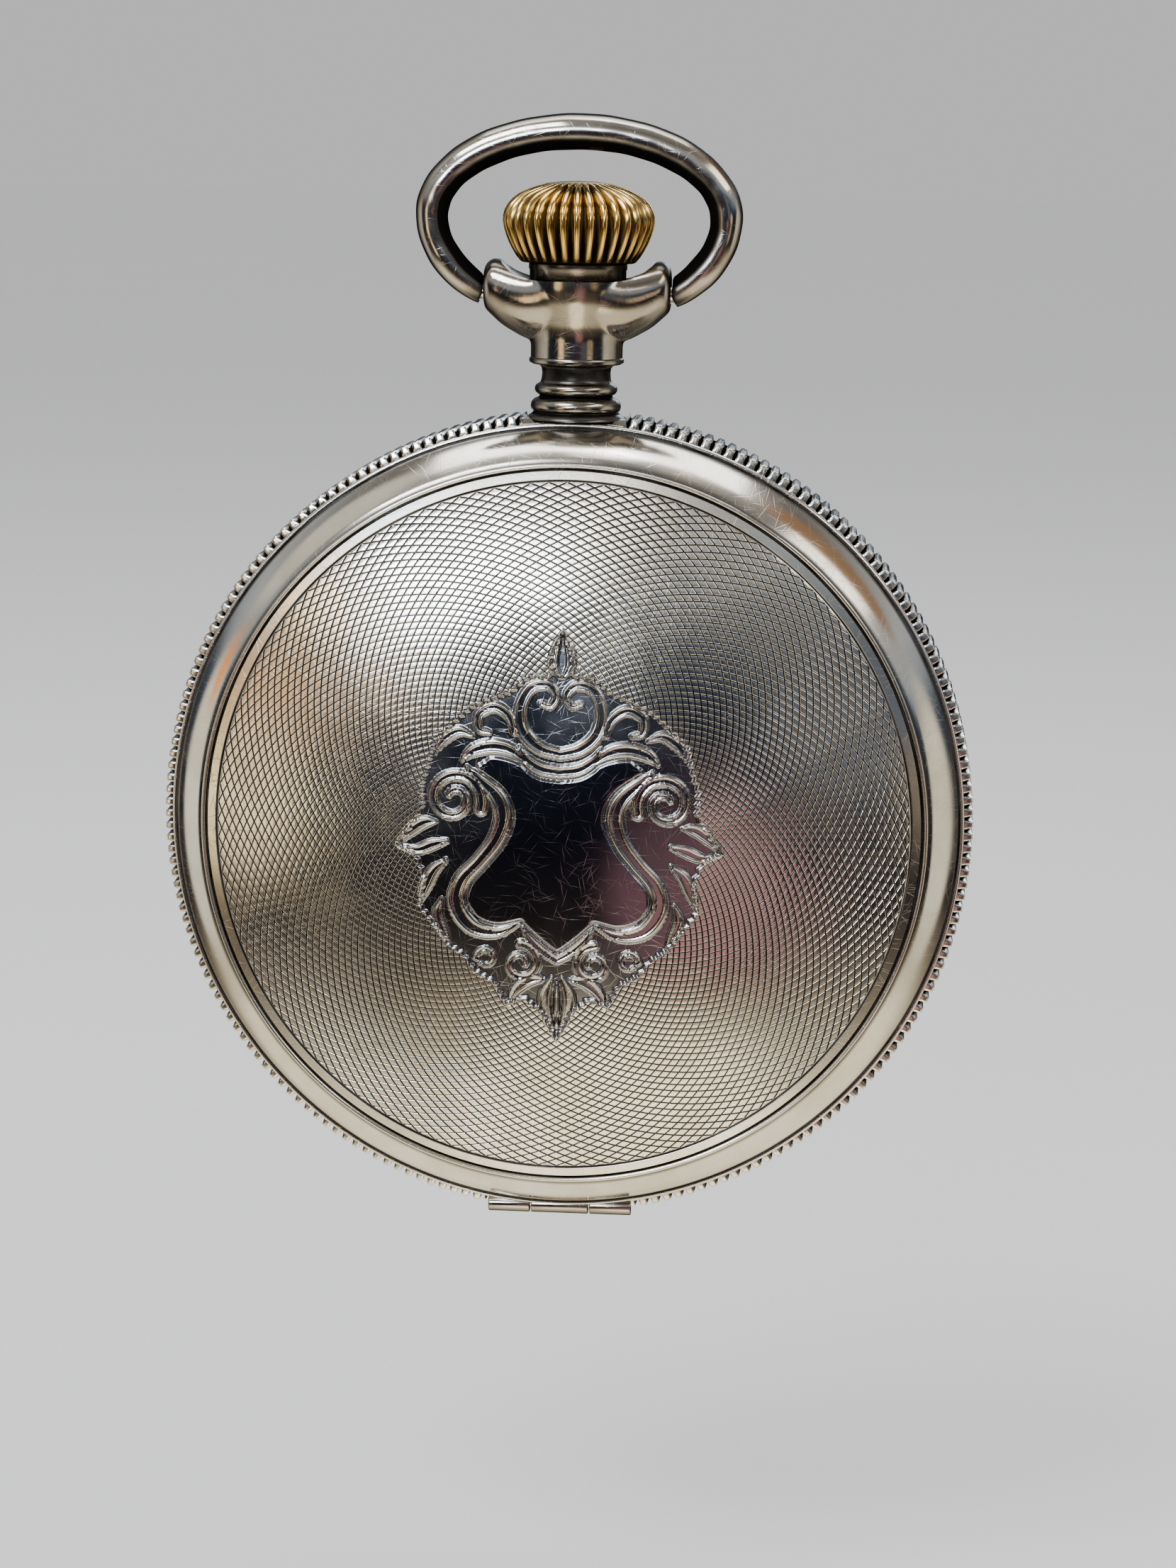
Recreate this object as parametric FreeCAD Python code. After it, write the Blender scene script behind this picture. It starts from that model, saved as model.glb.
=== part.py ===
"""Hunter pocket watch, 18 size: case, keyless works, going train, lever escapement and motion works.

Frame: X to the right, Y from the lid towards the back of the watch, Z up through the pendant.
Shapes are drawn about the centre of the case and raised when they are written, so that the origin is the
lowest point of the case. The dial faces -Y with its 3 at the pendant.
"""
import FreeCAD, Part
import math
import os

V = FreeCAD.Vector

# Case, in millimetres
BAND_R = 28.0
BAND_HALF = 2.45
COVER_EDGE_R = 27.4
COVER_EDGE_Y = 2.55
BEVEL_R = 24.9
BEVEL_Y = 6.0
APEX_Y = 9.3
SHELL = 0.6
FLAT_R = 7.0
HINGE_Y = 2.6
HINGE_Z = -27.45
KNUCKLE_R = 0.6
KNUCKLE_HALF = 2.0
PIN_R = 0.28
PIN_HALF = 5.0
CHANNEL_R = 25.8
FLANGE_R = 22.5
DUST_R = 24.3
DUST_HINGE_Y = 4.35
DUST_HINGE_Z = -24.25
DUST_KNUCKLE_R = 0.45
BOTTOM_TO_CENTRE = KNUCKLE_R - HINGE_Z

# Pendant, bow and crown
EAR_Z = 36.0
EAR_HALF = 6.375
YOKE_HALF = [
    (0.0, 34.75, 2.4), (1.8, 34.8, 2.4), (3.3, 35.0, 2.42), (4.4, 35.4, 2.42), (5.2, 35.75, 2.38),
    (5.8, 36.0, 2.25), (6.2, 36.1, 1.95), (6.375, 36.1, 1.65),
]
BOW_A = 10.05
BOW_TOP = 5.7
BOW_BOTTOM = 6.74
BOW_CENTRE_Z = 41.2
BOW_WIRE_R = 1.15
BOW_PIN_R = 0.6
STEM_R = 0.75

# Movement levels along Y
DIAL_FRONT = -4.1
DIAL_BACK = -3.7
PLATE_FRONT = -3.0
PLATE_BACK = -1.9
BRIDGE_FRONT = 1.4
BRIDGE_BACK = 2.3
WIND_FRONT = 2.35
WIND_BACK = 2.95
MOVEMENT_R = 22.3

# Wheels: teeth, and module where two wheels share it
WINDING_MODULE = 0.3
WINDING_TEETH = 16
CROWN_WHEEL_TEETH = 32
RATCHET_TEETH = 40
BARREL_TEETH = 78
CENTRE_PINION = 12
CENTRE_TEETH = 80
CENTRE_MODULE = 0.16
THIRD_TEETH = 75
THIRD_MODULE = 0.15
FOURTH_TEETH = 70
FOURTH_MODULE = 0.13
TRAIN_PINION = 10
ESCAPE_PINION = 7
ESCAPE_TEETH = 15
ESCAPE_R = 3.6
MOTION_MODULE = 0.15
CANNON_TEETH = 12
MINUTE_WHEEL_TEETH = 36
MINUTE_PINION = 10
HOUR_TEETH = 40

# Places of the arbors, as (x, z)
CENTRE = (0.0, 0.0)
CROWN_WHEEL_AT = (0.0, 10.6)
FOURTH_AT = (11.0, 0.0)
BALANCE_AT = (4.0, -12.5)
BALANCE_R = 8.5
MINUTE_ANGLE = math.radians(200)
PALLET_DISTANCE = 4.16
CASE_SCREWS_AT = [(-17.1, -12.0), (18.1, -10.45)]
BARREL_PILLARS = [(-20.0, -2.0), (-5.0, 19.3), (5.5, 19.0)]
TRAIN_PILLARS = [(14.5, 13.0), (19.3, -5.5), (19.5, 4.0)]


def polar(centre, radius, angle):
    return (centre[0] + radius * math.cos(angle), centre[1] + radius * math.sin(angle))


def heading(start, end):
    return math.atan2(end[1] - start[1], end[0] - start[0])


def distance(start, end):
    return math.hypot(end[0] - start[0], end[1] - start[1])


RATCHET_DISTANCE = WINDING_MODULE * (CROWN_WHEEL_TEETH + RATCHET_TEETH) / 2
BARREL_AT = polar(CROWN_WHEEL_AT, RATCHET_DISTANCE, math.radians(207.3))
BARREL_MODULE = 2 * distance(BARREL_AT, CENTRE) / (BARREL_TEETH + CENTRE_PINION)
THIRD_FROM_CENTRE = CENTRE_MODULE * (CENTRE_TEETH + TRAIN_PINION) / 2
THIRD_FROM_FOURTH = THIRD_MODULE * (THIRD_TEETH + TRAIN_PINION) / 2
THIRD_X = (FOURTH_AT[0] ** 2 + THIRD_FROM_CENTRE ** 2 - THIRD_FROM_FOURTH ** 2) / (2 * FOURTH_AT[0])
THIRD_AT = (THIRD_X, math.sqrt(THIRD_FROM_CENTRE ** 2 - THIRD_X ** 2))
ESCAPE_AT = polar(FOURTH_AT, FOURTH_MODULE * (FOURTH_TEETH + ESCAPE_PINION) / 2, math.radians(-75))
LEVER_ANGLE = heading(ESCAPE_AT, BALANCE_AT)
PALLET_AT = polar(ESCAPE_AT, PALLET_DISTANCE, LEVER_ANGLE)
MINUTE_DISTANCE = MOTION_MODULE * (CANNON_TEETH + MINUTE_WHEEL_TEETH) / 2
MINUTE_AT = polar(CENTRE, MINUTE_DISTANCE, MINUTE_ANGLE)
HOUR_MODULE = 2 * MINUTE_DISTANCE / (MINUTE_PINION + HOUR_TEETH)
CROWN_WHEEL_PHASE = math.pi / 2
CLICK_AT = polar(BARREL_AT, 8.9, math.radians(150))
SETTING_AT = (9.5, 16.6)
COCK_SCREW_AT = (-9.6, -12.6)
STONE_SPREAD = math.radians(30)
CANNON_PHASE = MINUTE_ANGLE
DIAL_FEET = [(-18.5, 5.0), (6.0, -18.5), (15.0, 12.0)]


def fuse(shapes):
    result = shapes[0]
    for shape in shapes[1:]:
        result = result.fuse(shape)
    return result.removeSplitter()


def cut(shape, tools):
    for tool in tools:
        shape = shape.cut(tool)
    return shape


def disc(radius, y0, y1, at=CENTRE):
    """A cylinder along Y between two levels."""
    return Part.makeCylinder(radius, y1 - y0, V(at[0], y0, at[1]), V(0, 1, 0))


def ring(inner, outer, y0, y1, at=CENTRE):
    return disc(outer, y0, y1, at).cut(disc(inner, y0 - 1, y1 + 1, at))


def post_z(radius, z0, z1, y=0.0, x=0.0):
    return Part.makeCylinder(radius, z1 - z0, V(x, y, z0), V(0, 0, 1))


def bar_x(radius, x0, x1, y, z):
    return Part.makeCylinder(radius, x1 - x0, V(x0, y, z), V(1, 0, 0))


def block(x0, x1, y0, y1, z0, z1):
    return Part.makeBox(x1 - x0, y1 - y0, z1 - z0, V(x0, y0, z0))


def closed_face(points):
    return Part.Face(Part.makePolygon(points + [points[0]]))


def revolve_y(profile, at=CENTRE):
    """Turn a closed (radius, y) outline about the Y line through a place."""
    face = closed_face([V(r, y, 0) for r, y in profile])
    solid = face.revolve(V(0, 0, 0), V(0, 1, 0), 360)
    solid.translate(V(at[0], 0, at[1]))
    return solid


def revolve_z(profile):
    face = closed_face([V(r, 0, z) for r, z in profile])
    return face.revolve(V(0, 0, 0), V(0, 0, 1), 360)


def plate(points, y0, y1):
    """A flat part from its (x, z) outline."""
    return closed_face([V(x, y0, z) for x, z in points]).extrude(V(0, y1 - y0, 0))


def tooth_ring(teeth, module, phase, slender=0.34):
    """Outline of a toothed rim about the origin, with one tooth centred on the phase angle."""
    pitch_r = module * teeth / 2
    root_r = pitch_r - 1.15 * module
    tip_r = pitch_r + 0.8 * module
    step = 2 * math.pi / teeth
    points = []
    for i in range(teeth):
        middle = phase + i * step
        corners = ((-0.26, root_r), (-slender / 3.4, tip_r), (slender / 3.4, tip_r), (0.26, root_r))
        for share, radius in corners:
            points.append(polar(CENTRE, radius, middle + share * step))
    return points


def gear(teeth, module, y0, y1, at, phase):
    points = [(x + at[0], z + at[1]) for x, z in tooth_ring(teeth, module, phase)]
    return plate(points, y0, y1)


def meshed(phase, teeth, angle, other_teeth):
    """Phase of a wheel that lies at an angle from a first wheel and is in mesh with it."""
    offset = phase - angle
    return angle + math.pi - offset * teeth / other_teeth + math.pi / other_teeth


def wheel(teeth, module, y0, y1, at, phase, hub_r, arms=4):
    """A crossed-out wheel: a toothed rim, a hub and arms."""
    rim_in = module * teeth / 2 - 3.4 * module
    body = gear(teeth, module, y0, y1, at, phase).cut(disc(rim_in, y0 - 1, y1 + 1, at))
    pieces = [body, disc(hub_r, y0, y1, at)]
    half = 0.08 * rim_in + 0.1
    for i in range(arms):
        arm = block(0, rim_in + module, y0, y1, -half, half)
        arm.rotate(V(0, 0, 0), V(0, -1, 0), 360.0 * i / arms)
        arm.translate(V(at[0], 0, at[1]))
        pieces.append(arm)
    return fuse(pieces)


def spiral(r0, r1, turns, thickness, y0, y1, at, per_turn=20):
    """A flat coiled strip."""
    count = int(turns * per_turn)
    outer = []
    inner = []
    for i in range(count + 1):
        angle = 2 * math.pi * i / per_turn
        radius = r0 + (r1 - r0) * i / count
        outer.append(polar(at, radius + thickness / 2, angle))
        inner.append(polar(at, radius - thickness / 2, angle))
    return plate(outer + inner[::-1], y0, y1)


def screw(at, head_y, head_r, head_h, shank_r, tip_y):
    """A cheese-head screw, head towards +Y, with its slot."""
    body = fuse([disc(head_r, head_y, head_y + head_h, at), disc(shank_r, tip_y, head_y + 0.01, at)])
    slot = block(-head_r, head_r, head_y + 0.55 * head_h, head_y + 2 * head_h, -0.14, 0.14)
    slot.translate(V(at[0], 0, at[1]))
    return body.cut(slot)


def arc_strip(r0, r1, y0, y1, start, end, steps=12):
    """Part of a flat ring between two angles in degrees, counted from +X towards +Z."""
    angles = [math.radians(start + (end - start) * i / steps) for i in range(steps + 1)]
    outer = [polar(CENTRE, r1, angle) for angle in angles]
    inner = [polar(CENTRE, r0, angle) for angle in angles]
    return plate(outer + inner[::-1], y0, y1)


# Case

def stem_hole():
    return post_z(1.2, 16.0, 40.0)


def front_pocket():
    """Room in the band for the lid's middle knuckle."""
    return bar_x(KNUCKLE_R + 0.1, -KNUCKLE_HALF - 0.05, KNUCKLE_HALF + 0.05, -HINGE_Y, HINGE_Z)


def case_band():
    outline = [
        (BAND_R, -BAND_HALF), (BAND_R, BAND_HALF), (23.9, BAND_HALF), (23.9, 4.3), (23.0, 4.3),
        (23.0, BAND_HALF), (FLANGE_R, BAND_HALF), (FLANGE_R, 1.6), (CHANNEL_R, 1.6),
        (CHANNEL_R, -1.6), (FLANGE_R, -1.6), (FLANGE_R, -BAND_HALF),
    ]
    band = revolve_y(outline)
    knuckles = []
    for y in (-HINGE_Y, HINGE_Y):
        for x0, x1 in ((-PIN_HALF, -KNUCKLE_HALF - 0.1), (KNUCKLE_HALF + 0.1, PIN_HALF)):
            knuckles.append(bar_x(KNUCKLE_R, x0, x1, y, HINGE_Z))
    band = fuse([band] + knuckles)
    for x0, x1 in ((-3.0, -1.1), (1.1, 3.0)):
        band = fuse([band, dust_knuckle(x0, x1), block(x0, x1, 2.4, DUST_HINGE_Y, DUST_HINGE_Z, -23.3)])
    back_pocket = front_pocket().mirror(V(0, 0, 0), V(0, 1, 0))
    nose_window = block(-1.8, 1.8, -3.0, -1.5, 23.6, 25.95)
    return cut(band, [
        front_pocket(), back_pocket, stem_hole(), nose_window,
        bar_x(PIN_R + 0.05, -6, 6, -HINGE_Y, HINGE_Z),
        bar_x(PIN_R + 0.05, -6, 6, HINGE_Y, HINGE_Z),
        bar_x(0.25, -6, 6, DUST_HINGE_Y, DUST_HINGE_Z),
        bar_x(DUST_KNUCKLE_R + 0.1, -1.05, 1.05, DUST_HINGE_Y, DUST_HINGE_Z),
        post_z(3.36, 27.54, 30),
    ])


def dust_knuckle(x0, x1):
    return bar_x(DUST_KNUCKLE_R, x0, x1, DUST_HINGE_Y, DUST_HINGE_Z)


def dome_points(edge_r, edge_y, apex_y, flat_r, steps=10):
    """Points of a shallow dome from its edge to a flat centre."""
    points = []
    for i in range(steps + 1):
        r = edge_r + (flat_r - edge_r) * i / steps
        share = (r - flat_r) / (edge_r - flat_r)
        points.append((r, apex_y + (edge_y - apex_y) * share ** 2))
    return points


def cover(flat_r):
    """The lid as a shell: bevelled rim and shallow dome, opening towards -Y."""
    outer = [(COVER_EDGE_R, -COVER_EDGE_Y), (COVER_EDGE_R, -3.4)]
    outer += dome_points(BEVEL_R, -BEVEL_Y, -APEX_Y, flat_r)
    outer.append((0, -APEX_Y))
    inner = [(0, -APEX_Y + SHELL)]
    inner += dome_points(BEVEL_R - SHELL, -BEVEL_Y + SHELL, -APEX_Y + SHELL, flat_r)[::-1]
    inner += [(COVER_EDGE_R - 0.8, -3.3), (COVER_EDGE_R - 0.8, -COVER_EDGE_Y)]
    shell = revolve_y(outer + inner)
    clear = []
    for x0, x1 in ((-PIN_HALF - 0.1, -KNUCKLE_HALF), (KNUCKLE_HALF, PIN_HALF + 0.1)):
        clear.append(bar_x(KNUCKLE_R + 0.1, x0, x1, -HINGE_Y, HINGE_Z))
    shell = cut(shell, clear)
    knuckle = bar_x(KNUCKLE_R, -KNUCKLE_HALF, KNUCKLE_HALF, -HINGE_Y, HINGE_Z)
    shell = fuse([shell, knuckle])
    return shell.cut(bar_x(PIN_R + 0.05, -6, 6, -HINGE_Y, HINGE_Z))


def front_cover():
    return cover(0.01)


def back_cover():
    return cover(FLAT_R).mirror(V(0, 0, 0), V(0, 1, 0))


def hinge_pin(y):
    return bar_x(PIN_R, -PIN_HALF, PIN_HALF, y, HINGE_Z)


def dust_cover():
    outer = dome_points(DUST_R, 4.75, 5.35, 0.01, 6)
    inner = [(r, y - 0.35) for r, y in outer]
    shell = revolve_y([(0, 5.35)] + outer[::-1] + inner + [(0, 5.0)])
    clear = []
    for x0, x1 in ((-3.05, -1.05), (1.05, 3.05)):
        clear.append(bar_x(DUST_KNUCKLE_R + 0.1, x0, x1, DUST_HINGE_Y, DUST_HINGE_Z))
        clear.append(block(x0, x1, 3.0, 4.85, -25.2, -23.2))
    shell = fuse([cut(shell, clear), bar_x(DUST_KNUCKLE_R, -1.0, 1.0, DUST_HINGE_Y, DUST_HINGE_Z)])
    return shell.cut(bar_x(0.25, -2, 2, DUST_HINGE_Y, DUST_HINGE_Z))


def dust_hinge_pin():
    return bar_x(0.2, -3.0, 3.0, DUST_HINGE_Y, DUST_HINGE_Z)


def bezel():
    return revolve_y([
        (24.4, -3.05), (24.4, -3.6), (22.4, -5.2), (21.2, -5.4), (21.2, -4.45), (20.9, -4.4),
        (20.9, -4.25), (21.7, -4.2), (21.7, -3.3), (24.05, -3.3), (24.05, -3.05),
    ])


def crystal():
    outer = dome_points(21.1, -5.05, -6.8, 0.01, 8)
    inner = [(r, y + 0.5) for r, y in dome_points(20.6, -5.0, -6.8, 0.01, 8)][::-1]
    return revolve_y([(0, -6.8)] + outer[::-1] + [(21.1, -5.02)] + inner[::-1] + [(0, -6.3)])


def lift_spring():
    return arc_strip(24.9, 25.5, -1.2, 0.6, -150, -100)


def lid_catch():
    frame = block(-3.6, 3.6, -1.4, 1.4, 23.9, 24.5)
    nose = block(-1.5, 1.5, -3.3, -1.4, 25.1, 25.65)
    rise = block(-1.5, 1.5, -1.5, -1.3, 23.9, 25.65)
    return fuse([frame, nose, rise]).cut(post_z(1.1, 20, 28))


def case_screws():
    return [screw(at, 2.5, 1.6, 0.45, 0.5, PLATE_BACK + 0.1) for at in CASE_SCREWS_AT]


# Pendant, bow and crown

def yoke():
    """The swelling barrel across the pendant, whose raised ends are the bow's ears."""
    rings = []
    for x, z, radius in YOKE_HALF[::-1] + [(-x, z, radius) for x, z, radius in YOKE_HALF[1:]]:
        rings.append(Part.Wire([Part.makeCircle(radius, V(x, 0, z), V(1, 0, 0))]))
    return Part.makeLoft(rings, True)


def pendant():
    neck = revolve_z([
        (1.75, 27.55), (3.35, 27.55), (2.95, 27.95), (3.0, 28.6), (2.6, 29.0), (2.75, 29.3), (2.75, 29.9),
        (2.4, 30.4), (2.4, 31.1), (3.15, 31.5), (3.15, 33.4), (3.3, 34.2), (3.7, 36.9), (3.7, 38.1),
        (1.75, 38.1),
    ])
    bowl = revolve_z([
        (3.7, 36.95), (4.3, 37.15), (4.95, 37.6), (5.45, 38.3), (5.45, 40.0), (3.7, 40.0),
    ])
    body = fuse([neck, yoke()])
    body = cut(body, [bowl, post_z(1.75, 27, 39)])
    for side in (-1, 1):
        ends = sorted((side * (EAR_HALF + 0.01), side * (EAR_HALF - 1.6)))
        body = body.cut(bar_x(BOW_PIN_R + 0.05, ends[0], ends[1], 0, EAR_Z))
    return body


def pendant_sleeve():
    return post_z(1.7, 28.6, 34.5).cut(post_z(STEM_R + 0.06, 28, 35))


def bow_point(angle):
    height = BOW_TOP if math.sin(angle) > 0 else BOW_BOTTOM
    return V(BOW_A * math.cos(angle), 0, BOW_CENTRE_Z + height * math.sin(angle))


def bow():
    start = -math.acos((EAR_HALF - 0.6) / BOW_A)
    steps = 24
    points = [bow_point(start + (math.pi - 2 * start) * i / steps) for i in range(steps + 1)]
    path = Part.BSplineCurve()
    path.interpolate(points)
    tangent = path.tangent(path.FirstParameter)[0]
    section = Part.Wire([Part.makeCircle(BOW_WIRE_R, points[0], tangent)])
    loop = Part.Wire([path.toShape()]).makePipeShell([section], True, True)
    gap = EAR_HALF + 0.08
    loop = loop.cut(block(-gap, gap, -3, 3, 30, 40))
    pins = []
    for side in (-1, 1):
        inner = side * (EAR_HALF - 1.5)
        outer = side * (gap + 0.5)
        pins.append(bar_x(BOW_PIN_R, min(inner, outer), max(inner, outer), 0, EAR_Z))
    return fuse([loop] + pins)


def crown():
    body = revolve_z([
        (0.0, 39.3), (3.8, 39.3), (3.8, 38.15), (4.2, 38.15), (4.95, 39.8), (5.19, 41.1), (4.7, 42.4),
        (3.6, 43.3), (2.3, 43.6), (0.0, 43.6),
    ])
    return body.cut(post_z(STEM_R, 38, 42))


def crown_stem():
    return post_z(STEM_R, 13.2, 41.95)


# Movement frame

def main_plate():
    body = revolve_y([
        (0.0, PLATE_FRONT), (23.9, PLATE_FRONT), (23.9, -2.5), (MOVEMENT_R, -2.5),
        (MOVEMENT_R, PLATE_BACK), (0.0, PLATE_BACK),
    ])
    stem_block = block(-3.2, 3.2, PLATE_BACK - 0.1, BRIDGE_FRONT - 0.05, 17.1, 20.9)
    bosses = [disc(1.0, PLATE_BACK - 0.1, 2.4, at) for at in CASE_SCREWS_AT]
    body = fuse([body, stem_block] + bosses)
    tools = [post_z(STEM_R + 0.06, 16, 26), block(-3.0, 3.0, -4, 3, 14.8, 17.0)]
    tools += [disc(0.52, PLATE_BACK, 4, at) for at in CASE_SCREWS_AT]
    tools += [disc(0.52, PLATE_FRONT - 1, 4, at) for at in BARREL_PILLARS + TRAIN_PILLARS]
    tools.append(disc(1.0, PLATE_FRONT - 1, PLATE_BACK + 1))
    tools += [disc(0.62, PLATE_FRONT - 1, PLATE_BACK + 1, at) for at in jewel_places()]
    tools.append(disc(0.55, PLATE_FRONT - 1, PLATE_BACK + 1, BARREL_AT))
    tools.append(block(-1.9, 1.9, -4, 0, 23.5, 25))
    studs = [disc(0.35, PLATE_FRONT - 0.5, PLATE_FRONT + 0.1, MINUTE_AT)]
    studs.append(disc(0.6, PLATE_FRONT - 0.6, PLATE_FRONT + 0.1, SETTING_AT))
    return fuse([cut(body, tools)] + studs)


def jewel_places():
    return [THIRD_AT, FOURTH_AT, ESCAPE_AT, PALLET_AT, BALANCE_AT]


def bridge(outline, pillars, extra_holes):
    area = disc(21.6, BRIDGE_FRONT, BRIDGE_BACK).common(plate(outline, BRIDGE_FRONT - 1, BRIDGE_BACK + 1))
    body = fuse([area] + [disc(1.3, PLATE_BACK, BRIDGE_FRONT + 0.1, at) for at in pillars])
    tools = [disc(0.52, PLATE_BACK - 1, 4, at) for at in pillars] + extra_holes
    return cut(body, tools)


def barrel_bridge():
    outline = [(-22, -4.5), (-4, -4.5), (-4, 3.0), (3.5, 6.8), (7.5, 22), (-22, 22)]
    slot = block(-3.0, 3.0, 0, 4, 14.8, 17.0)
    holes = [slot, disc(0.85, 0, 4, BARREL_AT), disc(0.47, 0, 4, CROWN_WHEEL_AT)]
    body = bridge(outline, BARREL_PILLARS, holes)
    return fuse([body, disc(0.5, BRIDGE_BACK - 0.1, WIND_BACK, CLICK_AT)])


def train_bridge():
    outline = [(-3.4, -3.6), (-3.4, 2.6), (4.1, 6.4), (8.1, 22), (22, 22), (22, -7.4), (8.0, -7.4)]
    holes = [disc(0.62, 0, 4, at) for at in (THIRD_AT, FOURTH_AT, ESCAPE_AT, CENTRE)]
    holes.append(disc(9.1, 0, 4, BALANCE_AT))
    return bridge(outline, TRAIN_PILLARS, holes)


def balance_cock():
    arm = plate([
        (-13, -16.5), (-6, -18), (4.6, -14.6), (6.1, -12.5), (4.6, -10.4), (-6, -8.0), (-13, -9),
    ], 3.1, 3.8)
    foot = plate([(-13, -16.5), (-5.6, -17.9), (-5.6, -8.1), (-13, -9)], PLATE_BACK, 3.2)
    body = fuse([arm, foot])
    return cut(body, [disc(0.62, 2, 5, BALANCE_AT), disc(0.52, -3, 4, COCK_SCREW_AT)])


def pallet_cock():
    side = LEVER_ANGLE + math.pi / 2
    far = polar(PALLET_AT, 4.4, side)
    beam = block(-1.2, 5.6, 0.75, 1.15, -1.1, 1.1)
    beam.rotate(V(0, 0, 0), V(0, -1, 0), math.degrees(side))
    beam.translate(V(PALLET_AT[0], 0, PALLET_AT[1]))
    foot = disc(1.05, PLATE_BACK, 0.8, far)
    body = fuse([beam, foot])
    return cut(body, [disc(0.62, 0, 2, PALLET_AT), disc(0.42, -3, 3, far)])


def pallet_screw_at():
    return polar(PALLET_AT, 4.4, LEVER_ANGLE + math.pi / 2)


def plate_screws():
    screws = []
    for at in BARREL_PILLARS + TRAIN_PILLARS:
        screws.append(screw(at, BRIDGE_BACK + 0.02, 1.1, 0.5, 0.5, PLATE_FRONT + 0.2))
    screws.append(screw(COCK_SCREW_AT, 3.82, 1.3, 0.5, 0.5, PLATE_BACK + 0.05))
    screws.append(screw(pallet_screw_at(), 1.17, 0.8, 0.25, 0.4, PLATE_BACK + 0.05))
    return screws


def jewels():
    lower = []
    for at in jewel_places():
        if at != FOURTH_AT:
            lower.append(ring(0.14, 0.6, PLATE_FRONT + 0.2, PLATE_BACK - 0.2, at))
    lower.append(ring(0.24, 0.6, PLATE_FRONT + 0.2, PLATE_BACK - 0.2, FOURTH_AT))
    upper = [ring(0.14, 0.6, 1.55, BRIDGE_BACK, at) for at in (THIRD_AT, FOURTH_AT, ESCAPE_AT)]
    upper.append(ring(0.34, 0.6, 1.55, BRIDGE_BACK, CENTRE))
    upper.append(ring(0.14, 0.6, 0.78, 1.12, PALLET_AT))
    upper.append(ring(0.14, 0.6, 3.15, 3.75, BALANCE_AT))
    return lower + upper


# Winding


def winding_pinion():
    outline = tooth_ring(WINDING_TEETH, WINDING_MODULE, math.pi / 2 + math.pi / WINDING_TEETH)
    z0 = CROWN_WHEEL_AT[1] + WINDING_MODULE * CROWN_WHEEL_TEETH / 2 - 0.25
    body = closed_face([V(x, y, z0) for x, y in outline]).extrude(V(0, 0, 1.5))
    return body.cut(post_z(STEM_R + 0.05, 10, 20))


def crown_wheel():
    body = gear(CROWN_WHEEL_TEETH, WINDING_MODULE, WIND_FRONT, WIND_BACK, CROWN_WHEEL_AT, CROWN_WHEEL_PHASE)
    return body.cut(disc(0.8, 0, 4, CROWN_WHEEL_AT))


def crown_wheel_screw():
    collar = disc(0.75, BRIDGE_BACK + 0.02, WIND_BACK + 0.1, CROWN_WHEEL_AT)
    return fuse([collar, screw(CROWN_WHEEL_AT, WIND_BACK + 0.05, 1.5, 0.35, 0.45, 1.5)])


def ratchet_phase():
    angle = heading(CROWN_WHEEL_AT, BARREL_AT)
    return meshed(CROWN_WHEEL_PHASE, CROWN_WHEEL_TEETH, angle, RATCHET_TEETH)


def ratchet_wheel():
    body = gear(RATCHET_TEETH, WINDING_MODULE, WIND_FRONT, WIND_BACK, BARREL_AT, ratchet_phase())
    return body.cut(disc(0.8, 0, 4, BARREL_AT))


def ratchet_screw():
    return screw(BARREL_AT, WIND_BACK + 0.02, 1.7, 0.4, 0.4, 2.0)


def barrel_arbor():
    pivot = disc(0.5, -2.9, -1.5, BARREL_AT)
    core = disc(1.6, -1.4, 0.1, BARREL_AT)
    upper = disc(0.78, -1.5, WIND_BACK, BARREL_AT)
    return fuse([pivot, core, upper]).cut(disc(0.42, 1.95, 4, BARREL_AT))


def click():
    toward = heading(CLICK_AT, BARREL_AT)
    tip = polar(BARREL_AT, WINDING_MODULE * RATCHET_TEETH / 2 + 0.34, math.radians(158))
    left = polar(CLICK_AT, 1.0, toward + math.radians(110))
    right = polar(CLICK_AT, 1.0, toward - math.radians(110))
    beak = plate([left, tip, right], WIND_FRONT, WIND_BACK - 0.1)
    body = fuse([beak, disc(1.1, WIND_FRONT, WIND_BACK - 0.1, CLICK_AT)])
    return body.cut(disc(0.55, 0, 4, CLICK_AT))


def click_spring():
    return arc_strip(20.2, 20.7, WIND_FRONT, WIND_FRONT + 0.35, 156, 180)


def setting_lever():
    tail = plate([(8.7, 17.2), (10.2, 16.2), (12.0, 16.9), (11.2, 17.6)], -3.55, -3.15)
    body = fuse([tail, disc(1.2, -3.55, -3.15, SETTING_AT)])
    return body.cut(disc(0.66, -5, 0, SETTING_AT))


# Power and train

def barrel_phase():
    return heading(BARREL_AT, CENTRE)


def mainspring_barrel():
    toothed = gear(BARREL_TEETH, BARREL_MODULE, -1.8, -1.3, BARREL_AT, barrel_phase())
    body = fuse([toothed, disc(9.0, -1.4, 0.15, BARREL_AT)])
    return cut(body, [disc(8.6, -1.45, 1, BARREL_AT), disc(0.85, -3, 1, BARREL_AT)])


def barrel_cover():
    return ring(0.85, 8.98, 0.17, 0.4, BARREL_AT)


def mainspring():
    return spiral(2.0, 8.2, 7, 0.22, -1.35, 0.05, BARREL_AT)


def arbor(at, y0, y1, radius, pivot_r):
    """A staff with a thin pivot at each end."""
    return fuse([disc(radius, y0 + 0.6, y1 - 0.6, at), disc(pivot_r, y0, y1, at)])


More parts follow.
